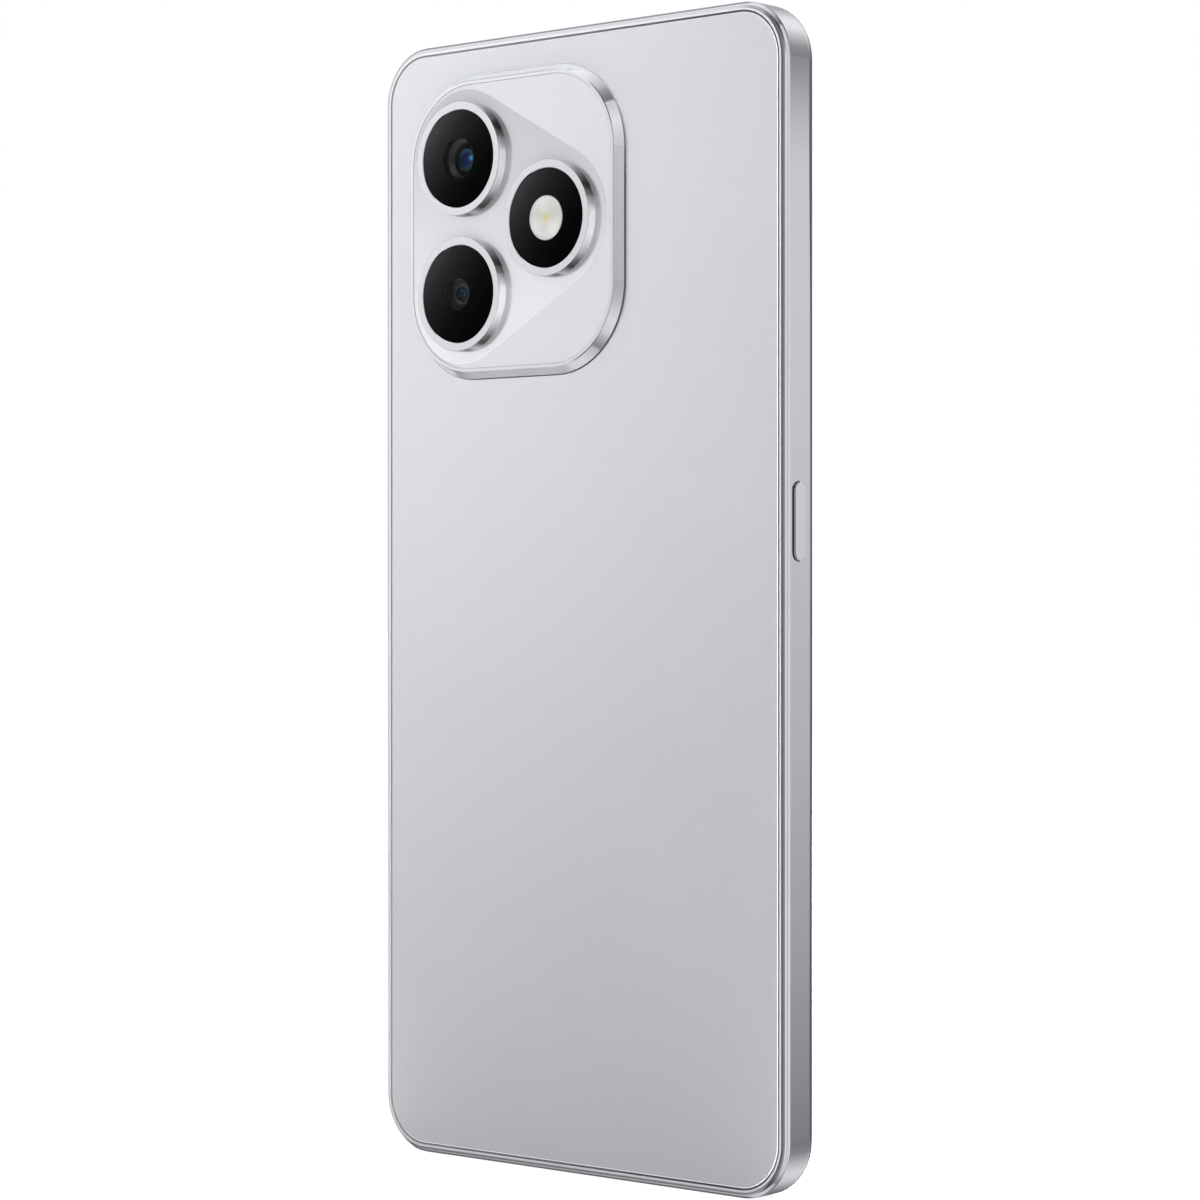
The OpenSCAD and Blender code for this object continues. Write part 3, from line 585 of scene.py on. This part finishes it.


def window_material(name, at, lift):
    """Black mask under glass, with a painted reflection that greys it towards its lit side.
    lift scales the grey.
    """
    mat, t, s = material(name)
    slope = t.dot(t.place(at=at), LIT_SIDE)
    speck = t.noise(2500.0, 3.0)
    along = t.math("ADD", t.span(slope, -7.0 * MM, 7.0 * MM),
                   t.span(speck, 0.2, 0.8, -0.01, 0.01))
    stops = ((0.0, 0.0003), (0.157, 0.0005), (0.357, 0.0022), (0.443, 0.0035),
             (0.62, 0.0084), (0.714, 0.0115), (0.78, 0.0155), (0.864, 0.021), (0.93, 0.030),
             (1.0, 0.036))
    t.link(t.ramp(along, [(share, (v * lift, v * lift, v * lift * 1.06))
                          for share, v in stops]),
           s.inputs["Base Color"])
    t.link(t.span(speck, 0.3, 0.7, 0.03, 0.05), s.inputs["Roughness"])
    t.link(t.bump(speck, 0.01, 1e-6), s.inputs["Normal"])
    constants(s, ior=1.5, specular=0.015)
    return mat


def clear_glass():
    """Thin clear window with a faint smear."""
    mat, t, s = material("clear_window")
    smear = t.noise(400.0, 3.0)
    t.link(t.ramp(smear, [(0.3, (0.97, 0.97, 0.98)), (0.7, (1.0, 1.0, 1.0))]),
           s.inputs["Base Color"])
    t.link(t.span(smear, 0.3, 0.7, 0.0, 0.015), s.inputs["Roughness"])
    constants(s, glass=1.0, ior=1.1, specular=0.1)
    return mat


def coating(name, at, stops, reach, glint=None):
    """Interference colours, with painted reflections among them, that change with the
    distance from the lens axis.

    The stops run from 0 at the axis to 1 at the reach, in mm. glint = (x, z, radius),
    in mm from the axis, adds a painted blue glint.
    """
    mat, t, s = material(name)
    r = t.radius(at)
    tone = t.ramp(t.span(r, 0.0, reach * MM), stops)
    if glint:
        # painted glint: a blue highlight spot beside the axis
        gx, gz, gr = (v * MM for v in glint)
        near = t.radius((at.x + gx, at.y, at.z + gz))
        tone = t.mix(t.span(near, gr, 0.2 * gr, smooth=True), tone, (0.06, 0.23, 0.44))
    speck = t.noise(3000.0, 3.0)
    t.link(t.mix(t.span(speck, 0.3, 0.7, 0.0, 0.12), tone, (0.0, 0.0, 0.0)),
           s.inputs["Base Color"])
    t.link(t.span(speck, 0.3, 0.7, 0.096, 0.144), s.inputs["Roughness"])
    constants(s, metallic=0.9, specular=0.0)
    return mat


def lit_baffle(name, at, reach, glow):
    """Black anodised cone with painted light: grey on one side, where it faces the light.

    reach is about the cone's radius, in metres. A soft painted patch of light sits
    beside and below the middle.
    """
    mat, t, s = material(name)
    p = t.place(at=at)
    slope = t.span(t.dot(p, LIT_SIDE), -3.0 * MM, 3.5 * MM, 0.004, 0.18 * glow)
    near = t.radius((at.x + 0.86 * reach, at.y, at.z - 0.55 * reach))
    speck = t.noise(900.0, 3.0)
    painted_light_patch = t.span(near, 0.62 * reach, 0.0, 0.0, glow, smooth=True)
    level = t.math("ADD", slope, t.math("MULTIPLY", painted_light_patch, t.span(speck, 0.2, 0.8, 0.8, 1)))
    t.link(level, s.inputs["Base Color"])
    t.link(t.span(speck, 0.3, 0.7, 0.3, 0.42), s.inputs["Roughness"])
    t.link(t.bump(speck, 0.1, 5e-6), s.inputs["Normal"])
    constants(s, specular=0.15)
    return mat


def build_window(tag, glass_node, opening, lift):
    """Dark ring-shaped mask round a clear opening, whose radius is in mm."""
    at = centre(glass_node)
    top, low = GLASS_TOP, GLASS_LOW
    lathe(tag + "_window_mask", at,
          [(opening, top - 0.10), (opening + 0.5, low), (GLASS_R, low), (GLASS_R, top - 0.05),
           (GLASS_R - 0.05, top), (opening + 0.02, top), (opening, top - 0.02)],
          [window_material(tag + "_window_mask", at, lift)], segments=192,
          slot="lens_window", replaced=(glass_node,))
    centre_r = opening - 0.012
    lathe(tag + "_window_centre", at,
          [(0, top), (centre_r, top), (centre_r, top - 0.1), (0, top - 0.1)],
          [clear_glass()], segments=128, slot="lens_window")


def build_main_camera():
    """The focusing barrel with its stepped cone, and the coated lens in it."""
    build_window("main", "main_lens_glass", opening=3.05, lift=1.0)
    at = centre("main_lens_glass")
    top, foot = top_of("main_camera_barrel"), foot_of("main_camera_barrel")
    cone = [(3.8, foot), (3.8, top), (3.12, top), (3.0, top - 0.06), (2.72, top - 0.24),
            (2.70, top - 0.32), (2.46, top - 0.50), (2.40, top - 0.62), (2.40, foot)]
    grey = lit_baffle("main_baffle_cone", at, 2.9 * MM, 0.075)
    # painted reflection: the barrel is greyer towards its lit side, as on the windows
    black = window_material("main_barrel_black", at, 1.6)
    lathe("main_barrel_detail", at, cone, [black, grey], [0, 0, 0, 1, 1, 1, 1, 0, 0],
          segments=128, body="lens_barrel", slot="camera_black",
          replaced=("main_camera_barrel",), sharp=20)
    # the teal band near 0.56 of the reach and the glint are painted reflections
    coated = coating("main_outer_element", at,
                     [(0.0, (0.003, 0.012, 0.06)), (0.26, (0.010, 0.010, 0.085)),
                      (0.44, (0.003, 0.014, 0.040)), (0.56, (0.022, 0.065, 0.085)),
                      (0.61, (0.014, 0.040, 0.05)), (0.66, (0.004, 0.005, 0.007)),
                      (1.0, (0.003, 0.003, 0.004))], 2.4, glint=(-0.85, 0.2, 0.62))
    top, foot = top_of("main_camera_lens"), foot_of("main_camera_lens")
    dome = [(2.38, foot), (2.38, top - 0.50), (2.1, top - 0.40), (1.70, top - 0.05),
            (1.62, top), (1.52, top - 0.03), (1.3, top - 0.07), (0.9, top - 0.10),
            (0.4, top - 0.12), (0, top - 0.125), (0, foot)]
    lathe("main_lens_detail", at, dome, [coated, black], [1, 1, 1, 1, 0, 0, 0, 0, 0, 1, 1],
          segments=128, body="lens_barrel", slot="coated_lens",
          replaced=("main_camera_lens",), sharp=25)


def build_lower_camera():
    """The smaller fixed lens, with a baffle ring on its housing."""
    build_window("lower", "lower_lens_glass", opening=2.25, lift=0.72)
    at = centre("lower_lens_glass")
    black = finish("baffle_black", (0.004, 0.004, 0.0045), 0.34, rough_vary=0.06, vary=0.1,
                   cloud=900, grain=9000, depth=0.15, relief=6e-6, specular=0.1)
    top, foot = top_of("lower_camera_lens"), foot_of("lower_camera_lens")
    coated = coating("lower_outer_element", at,
                     [(0.0, (0.003, 0.010, 0.030)), (0.35, (0.003, 0.008, 0.022)),
                      (0.50, (0.008, 0.020, 0.032)), (0.62, (0.014, 0.022, 0.028)),
                      (0.7, (0.003, 0.003, 0.004)), (1.0, (0.003, 0.003, 0.004))], 1.18,
                     glint=(-0.3, 0.05, 0.22))
    lathe("lower_lens_detail", at,
          [(1.18, foot), (1.18, top - 0.25), (0.86, top - 0.02), (0.80, top),
           (0.6, top - 0.05), (0.3, top - 0.08), (0, top - 0.085), (0, foot)],
          [coated, black], [1, 1, 1, 0, 0, 0, 1, 1], segments=96, slot="coated_lens",
          replaced=("lower_camera_lens",), sharp=25)
    top = top_of("lower_camera_housing")
    grey = lit_baffle("lower_baffle_cone", at, 2.0 * MM, 0.03)
    lathe("lower_baffle_ring", at,
          [(1.25, top + 0.01), (2.1, top + 0.01), (2.1, top + 0.12), (1.5, top + 0.12)],
          [black, grey], [0, 0, 0, 1], segments=96, slot="camera_black", sharp=25)


# ---------------------------------------------------------------- flash

def diffuser_material(at):
    """White optic: warm in the middle, with soft sectors of painted highlight and shade round
    it.
    """
    mat, t, s = material("flash_diffuser_white")
    r = t.radius(at)
    p = t.place(at=at)
    angle = t.math("ARCTAN2", t.dot(p, (0, 0, 1)), t.dot(p, (1, 0, 0)))
    turn = t.math("ADD", t.math("DIVIDE", angle, 2 * math.pi), 0.5)
    # painted highlight and shade: brighter and darker sectors round the axis
    painted_sectors = t.ramp(turn, [(0.0, 0.86), (0.12, 0.97), (0.28, 0.84), (0.42, 0.92),
                           (0.55, 0.80), (0.70, 1.0), (0.84, 0.90), (0.93, 0.82),
                           (1.0, 0.86)], "EASE")
    painted_sectors = t.mix(t.span(r, 0.2 * MM, 1.3 * MM, smooth=True), (0.9, 0.9, 0.9), painted_sectors)
    warm = t.ramp(t.span(r, 0.0, 3.2 * MM),
                  [(0.0, (0.46, 0.42, 0.16)), (0.14, (0.46, 0.44, 0.27)),
                   (0.32, (0.47, 0.465, 0.43)), (0.8, (0.50, 0.50, 0.49)),
                   (1.0, (0.42, 0.42, 0.41))])
    fine = t.noise(4000.0, 3.0)
    tone = t.mix(1.0, warm, painted_sectors, "MULTIPLY")
    t.link(t.mix(t.span(fine, 0.3, 0.7, 0.0, 0.04), tone, (0.6, 0.6, 0.58)),
           s.inputs["Base Color"])
    t.link(t.span(fine, 0.3, 0.7, 0.26, 0.36), s.inputs["Roughness"])
    t.link(t.bump(fine, 0.02, 3e-6), s.inputs["Normal"])
    constants(s, coat=0.1, coat_rough=0.06, specular=0.2)
    return mat


def build_flash():
    """The stepped diffuser, and the dark window round it."""
    at = centre("flash_diffuser")
    top, foot = top_of("flash_diffuser"), foot_of("flash_diffuser")
    r = half_width("flash_diffuser")
    segments, facets, steps = 160, 20, 5
    # Fresnel steps under a smooth rim, with shallow radial facets
    rim = [(r, foot), (r, top - 0.06), (r - 0.06, top)]
    profile = list(rim)
    optic_r = r - 0.16
    for i in range(steps):
        outer = optic_r * (1 - i / steps)
        inner = optic_r * (1 - (i + 1) / steps)
        profile.append((outer, top - 0.004 * i))
        profile.append((max(inner + 0.04, 0.1), top - 0.004 * i - 0.012))
    profile += [(0, top - 0.04), (0, foot)]

    def wobble(i, j):
        facet = abs(((j * facets / segments) % 1) - 0.5) * 2
        return (0.0, -0.008 * facet) if i >= len(rim) else (0.0, 0.0)

    lathe("flash_diffuser_detail", at, profile, [diffuser_material(at)], segments=segments,
          wobble=wobble, slot="flash_white", replaced=("flash_diffuser",), sharp=20)

    at = centre("flash_window")
    wr = half_width("flash_window")
    lathe("flash_window_detail", at,
          [(r + 0.05, GLASS_LOW), (wr, GLASS_LOW), (wr, GLASS_TOP - 0.05),
           (wr - 0.05, GLASS_TOP), (r + 0.08, GLASS_TOP), (r + 0.05, GLASS_TOP - 0.03)],
          [window_material("flash_window_mask", at, 0.78)], segments=192,
          slot="lens_window", replaced=("flash_window",))


# ---------------------------------------------------------------- lower and front details

def build_contacts():
    """Gold contacts on both faces of the USB-C tongue."""
    gold = finish("contact_gold", (0.83, 0.62, 0.24), 0.22, rough_vary=0.05, vary=0.05,
                  cloud=1500, grain=12000, depth=0.1, relief=2e-6, metallic=1.0)
    lo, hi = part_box("usb_c_tongue")
    verts, faces = [], []
    count = 12
    pitch, wide, thick, long_ = 0.5 * MM, 0.26 * MM, 0.02 * MM, 2.6 * MM
    inset, bevel = 0.35 * MM, 0.05 * MM
    mid = (lo.x + hi.x) / 2
    for side in (-1, 1):
        face_y = lo.y if side < 0 else hi.y
        for i in range(count):
            x = mid + (i - (count - 1) / 2) * pitch
            x0, x1 = x - wide / 2, x + wide / 2
            y0, y1 = sorted((face_y, face_y + side * thick))
            # the four middle contacts start further in
            short = 0.35 * MM if 3 < i < 8 else 0.0
            z0, z1 = lo.z + inset + short, lo.z + inset + long_
            n = len(verts)
            ring = [(x0, z0 + bevel), (x0 + bevel, z0), (x1 - bevel, z0), (x1, z0 + bevel),
                    (x1, z1), (x0, z1)]
            verts += [(px, y0, pz) for px, pz in ring] + [(px, y1, pz) for px, pz in ring]
            k = len(ring)
            faces.append(tuple(n + a for a in range(k)))
            faces.append(tuple(n + k + a for a in reversed(range(k))))
            for a in range(k):
                b = (a + 1) % k
                faces.append((n + a, n + k + a, n + k + b, n + b))
    mesh_object("usb_c_contacts", verts, faces, [gold], slot="brass_part")


# corner radii of the body and of the island's foot, in mm
BODY_CORNER = 8.1
ISLAND_CORNER = 12.7


def ring_band(name, at, size, corner, inner, outer, low, high, mat, slot, steps=24):
    """A closed band round a rounded rectangle, for which size and corner are given.

    inner and outer are offsets from its outline, low and high are heights over the
    rear panel, and all are in mm.
    """
    section = [(inner, low), (outer, low), (outer, high), (inner, high)]
    half_w, half_h = size[0] / 2 - corner, size[1] / 2 - corner
    verts, faces = [], []
    count = 0
    for cx, cz, start in ((1, 1, 0), (-1, 1, 90), (-1, -1, 180), (1, -1, 270)):
        for i in range(steps + 1):
            a = math.radians(start + 90 * i / steps)
            for offset, w in section:
                r = corner + offset
                verts.append((at.x + (cx * half_w + r * math.cos(a)) * MM, REAR_Y + w * MM,
                              at.z + (cz * half_h + r * math.sin(a)) * MM))
            count += 1
    k = len(section)
    for i in range(count):
        j = (i + 1) % count
        for a in range(k):
            b = (a + 1) % k
            faces.append((i * k + a, i * k + b, j * k + b, j * k + a))
    mesh_object(name, verts, faces, [mat], slot=slot)


def seam_material(name, along, start, end, near, far):
    """Dark gasket with painted shade: paler in one direction, between two distances along it.
    """
    mat, t, s = material(name)
    speck = t.noise(6000.0, 3.0)
    t.link(t.math("MULTIPLY", t.span(t.dot(t.place(), along), start, end, near, far),
                  t.span(speck, 0.3, 0.7, 0.85, 1.1)), s.inputs["Base Color"])
    t.link(t.span(speck, 0.3, 0.7, 0.47, 0.63), s.inputs["Roughness"])
    t.link(t.bump(speck, 0.2, 6e-6), s.inputs["Normal"])
    return mat


def build_seams():
    """Dark gaskets in the seam round the rear panel and at the foot of the island. Painted
    shade grades across both, and at the island's foot the dark line is mostly a painted
    contact shadow.
    """
    lo, hi = BODY
    body = ((hi.x - lo.x) / MM, (hi.z - lo.z) / MM)
    at = Vector(((lo.x + hi.x) / 2, 0, MID_Z))
    # painted shade: the seam gasket is darkest on the -X side and paler towards +X
    ring_band("rear_seam_gasket", at, body, BODY_CORNER, -1.46, -1.17, -0.22, -0.075,
              seam_material("seam_gasket", (1, 0, 0), lo.x, hi.x, 0.03, 0.22),
              "black_plastic")
    lo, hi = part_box("island_bezel")
    foot = ((hi.x - lo.x) / MM, (hi.z - lo.z) / MM)
    at = centre("island_bezel")
    upward = Vector((math.sqrt(0.5), 0, math.sqrt(0.5)))
    middle = at.dot(upward)
    # painted contact shadow: the island's foot line is dark on its lower, -X side and as pale
    # as the panel on its upper side
    ring_band("island_foot_bond_and_shadow", at, foot, ISLAND_CORNER, -0.1, 0.16, -0.02, 0.03,
              seam_material("bond_line_painted_shadow", upward, middle - 11 * MM, middle + 5 * MM,
                            0.06, 0.75), "black_plastic")


def build_front():
    """Black ring and lens of the front camera: a thin disc on the display glass."""
    at = centre("front_camera")
    face = foot_of("display_glass")
    black = finish("front_camera_mask", (0.002, 0.002, 0.002), 0.08, rough_vary=0.02,
                   vary=0.1, cloud=800, grain=9000, depth=0.02, relief=1e-6)
    lens = coating("front_lens", at,
                   [(0.0, (0.006, 0.008, 0.035)), (0.5, (0.008, 0.018, 0.06)),
                    (0.8, (0.005, 0.010, 0.02)), (1.0, (0.003, 0.003, 0.004))], 1.4)
    lathe("front_camera_window", at,
          [(0, face - 0.012), (0.9, face - 0.012), (1.35, face - 0.010),
           (1.75, face - 0.006), (1.8, face + 0.002), (0, face + 0.002)],
          [lens, black], [0, 0, 1, 1, 1, 1], segments=96, slot="cover_glass", sharp=40)


# ---------------------------------------------------------------- stage

LOOK = Vector((0.6698, -0.7426, 0.0))       # level view onto the rear and the -X side
VIEW_FROM = Vector((-0.33826, REAR_Y + 0.36980, MID_Z))
LENS_MM = 105.8
SENSOR_MM = 36.0
REFLECTED = Vector((LOOK.x, -LOOK.y, 0.0))  # where the rear panel reflects that look
SIDEWAYS = Vector((REFLECTED.y, -REFLECTED.x, 0.0))     # level, across the reflected look


def build_camera_view():
    cam = bpy.data.cameras.new("view")
    cam.lens = LENS_MM
    cam.sensor_width = SENSOR_MM
    cam.clip_start, cam.clip_end = 0.01, 50.0
    obj = bpy.data.objects.new("view", cam)
    bpy.context.scene.collection.objects.link(obj)
    obj.location = VIEW_FROM
    obj.rotation_mode = "QUATERNION"
    obj.rotation_quaternion = LOOK.to_track_quat("-Z", "Y")
    bpy.context.scene.camera = obj


def studio_tone(t):
    """What reflections see: a studio of light boxes and dark flags.

    Zones follow from how far a direction points to the rear (1 is straight behind the
    phone). In three of them the light depends on the turn about the phone's depth axis
    (0 points to the key side that shows, 90 up, -90 down).
    """
    coord = t.add("ShaderNodeTexCoord").outputs["Generated"]
    up = t.dot(coord, (0, 0, 1))
    rear = t.dot(coord, (0, 1, 0))
    x_part = t.dot(coord, (1, 0, 0))
    side_part = t.dot(coord, (SIDEWAYS.x, SIDEWAYS.y, 0))
    turn = t.math("DIVIDE", t.math("ARCTAN2", up, t.dot(coord, (-1, 0, 0))), math.pi)
    turn = t.math("MULTIPLY_ADD", turn, 0.5, 0.5)

    def by_turn(*stops):
        return t.ramp(turn, [((degrees + 180) / 360, level) for degrees, level in stops])

    def block(*spans):
        """Product of smooth steps: 1 where every value is inside its span."""
        total = None
        for value, lo, hi in spans:
            step = t.span(value, lo, hi, smooth=True)
            total = step if total is None else t.math("MULTIPLY", total, step)
        return total

    # the light box in the rear panel's reflection, weaker downwards and to one side
    box_light = t.ramp(t.span(up, -0.5, 0.5),
                       [(0.0, 0.15), (0.30, 0.37), (0.358, 0.40), (0.387, 0.385),
                        (0.413, 0.40), (0.443, 0.46), (0.472, 0.56), (0.5, 0.685),
                        (0.557, 0.82), (0.65, 0.96), (1.0, 0.96)])
    aside = t.math("MULTIPLY", t.span(side_part, 0.02, -0.05),
                   t.span(up, -0.17, -0.02, 0.0, 0.52))
    box_light = t.math("MULTIPLY", box_light, t.math("SUBTRACT", 1.0, aside))
    box = block((side_part, -0.25, -0.18), (side_part, 0.30, 0.22), (up, -0.6, -0.45),
                (up, 0.6, 0.45), (rear, 0.34, 0.44))
    surround = t.ramp(t.span(x_part, -0.7, 0.6),
                      [(0.0, 0.45), (0.30, 0.27), (0.62, 0.20), (0.70, 0.13), (1.0, 0.13)])

    # round the phone: what the island's bevel reflects
    middle = by_turn((-180, 0.74), (-155, 0.74), (-151, 0.17), (-146, 0.20), (-134, 0.49),
                     (-122, 0.58), (-110, 0.73), (-97, 0.74), (-79, 0.52),
                     (-77, 0.24), (-68, 0.40), (-56, 0.69), (-41, 0.76), (-25, 0.60),
                     (-10, 0.47), (4, 0.43), (9, 0.62), (23, 0.73), (38, 0.84), (52, 0.69),
                     (59, 0.66), (61, 0.20), (66, 0.23), (74, 0.37), (80, 0.56), (93, 0.80),
                     (105, 0.94), (118, 1.0), (145, 0.98), (158, 0.72), (180, 0.72))
    glow = block((rear, 0.22, 0.14), (rear, -0.5, -0.42), (x_part, -0.84, -0.90))
    edge_glow = block((rear, 0.40, 0.47), (x_part, -0.60, -0.66), (up, 0.35, 0.2),
                      (up, -0.35, -0.2))
    # what the ring walls reflect
    front_side = by_turn((-180, 0.64), (-160, 0.62), (-143, 0.20), (-126, 0.55),
                         (-113, 0.30), (-105, 0.02), (-86, 0.11), (-67, 0.36), (-49, 0.60),
                         (-30, 0.90), (-11, 0.97), (8, 0.81), (26, 0.46), (45, 0.13),
                         (64, 0.02), (83, 0.11), (102, 0.26), (121, 0.57), (140, 0.66),
                         (180, 0.65))
    # what the side frame reflects
    front = by_turn((-180, 0.5), (-150, 0.2), (-134, 0.2), (-115, 0.4), (-94, 0.7),
                    (-75, 0.82), (-55, 0.59), (-34, 0.3), (-20, 0.22), (-14, 0.22),
                    (-12.7, 0.30), (-10, 0.386), (-6.4, 0.48), (-1.8, 0.57), (1.8, 0.635),
                    (5.5, 0.69), (11.4, 0.74), (12.2, 0.73), (12.55, 0.63), (12.85, 0.36),
                    (13.15, 0.205), (15, 0.21), (25, 0.29), (34, 0.34), (55, 0.63),
                    (75, 0.96), (94, 0.96), (115, 0.65), (134, 0.44), (155, 0.5), (180, 0.6))
    facing = t.math("ABSOLUTE", t.math("ADD", rear, 0.02))
    n = t.mix(t.span(facing, 0.44, 0.50, smooth=True), middle, front_side)
    n = t.mix(glow, n, (0.76, 0.76, 0.76))
    n = t.mix(edge_glow, n, (0.95, 0.95, 0.95))
    # greyer where the rounded upper and lower edges of the frame reflect it
    top_edge = block((rear, 0.16, 0.04), (x_part, 0.42, 0.56), (up, 0.3, 0.5))
    low_edge = block((rear, 0.16, 0.04), (x_part, 0.42, 0.56), (up, -0.3, -0.5))
    n = t.mix(top_edge, n, (0.36, 0.36, 0.36))
    n = t.mix(low_edge, n, (0.14, 0.14, 0.14))
    n = t.mix(t.span(rear, 0.735, 0.775, smooth=True), n, surround)
    n = t.mix(box, n, box_light)
    n = t.mix(t.span(rear, -0.70, -0.735, smooth=True), n, front)
    n = t.mix(t.span(rear, -0.86, -0.97, 0.0, 0.8, smooth=True), n, (0.03, 0.03, 0.03))
    return t.mix(1.0, n, (0.985, 0.99, 1.02), "MULTIPLY")


def build_world():
    """White to the camera, and the studio to reflections."""
    world = bpy.data.worlds.new("studio")
    bpy.context.scene.world = world
    world.use_nodes = True
    t = Tree(world.node_tree)
    studio = t.add("ShaderNodeBackground")
    t.link(studio_tone(t), studio.inputs["Color"])
    white = t.add("ShaderNodeBackground")
    white.inputs["Color"].default_value = (1, 1, 1, 1)
    mixer = t.add("ShaderNodeMixShader")
    t.link(t.add("ShaderNodeLightPath").outputs["Is Camera Ray"], mixer.inputs[0])
    t.link(studio.outputs[0], mixer.inputs[1])
    t.link(white.outputs[0], mixer.inputs[2])
    out = t.add("ShaderNodeOutputWorld")
    t.link(mixer.outputs[0], out.inputs["Surface"])


def area(name, at, target, size, watts):
    """A round white light aimed at a point, unseen in reflections."""
    light = bpy.data.lights.new(name, "AREA")
    light.shape = "DISK"
    light.size = size
    light.energy = watts
    obj = bpy.data.objects.new(name, light)
    bpy.context.scene.collection.objects.link(obj)
    obj.location = Vector(at)
    obj.rotation_mode = "QUATERNION"
    obj.rotation_quaternion = (Vector(target) - Vector(at)).to_track_quat("-Z", "Y")
    obj.visible_glossy = False


FLOOR_HALF = 6.0
FLOOR_DROP = 0.00002        # keeps the floor clear of the phone's lower edge


def build_floor():
    """Pale floor that glows a little. Seen from below, it is clear."""
    r = FLOOR_HALF
    mesh = bpy.data.meshes.new("floor")
    mesh.from_pydata([(-r, -r, 0), (r, -r, 0), (r, r, 0), (-r, r, 0)],
                     [], [(0, 1, 2, 3)])
    floor = bpy.data.objects.new("floor", mesh)
    bpy.context.scene.collection.objects.link(floor)
    floor.location.z = -FLOOR_DROP
    floor.visible_glossy = False
    mat, t, s = material("pale_floor")
    t.link(t.ramp(t.noise(3.0, 2.0), [(0.0, (0.80, 0.80, 0.80)), (1.0, (0.84, 0.84, 0.84))]),
           s.inputs["Base Color"])
    s.inputs["Roughness"].default_value = 0.9
    s.inputs["Emission Color"].default_value = (1, 1, 1, 1)
    constants(s, emit=0.72, specular=0.0)
    clear = t.add("ShaderNodeBsdfTransparent")
    mixer = t.add("ShaderNodeMixShader")
    t.link(t.add("ShaderNodeNewGeometry").outputs["Backfacing"], mixer.inputs[0])
    t.link(s.outputs[0], mixer.inputs[1])
    t.link(clear.outputs[0], mixer.inputs[2])
    out = next(n for n in t.tree.nodes if n.type == "OUTPUT_MATERIAL")
    t.link(mixer.outputs[0], out.inputs["Surface"])
    mesh.materials.append(mat)


def build_stage():
    scene = bpy.context.scene
    scene.view_settings.view_transform = "Standard"
    scene.view_settings.look = "None"
    build_camera_view()
    build_world()
    build_floor()
    area("overhead", (0.0, -0.75, 0.72), (0, 0, MID_Z), size=0.4, watts=52.0)
    area("key_left", (0.24, 0.36, 0.42), (0.01, 0, MID_Z), size=0.14, watts=0.65)


build_stage()
build_silver()
build_inner()
build_rings()
build_main_camera()
build_lower_camera()
build_flash()
build_contacts()
build_seams()
build_front()
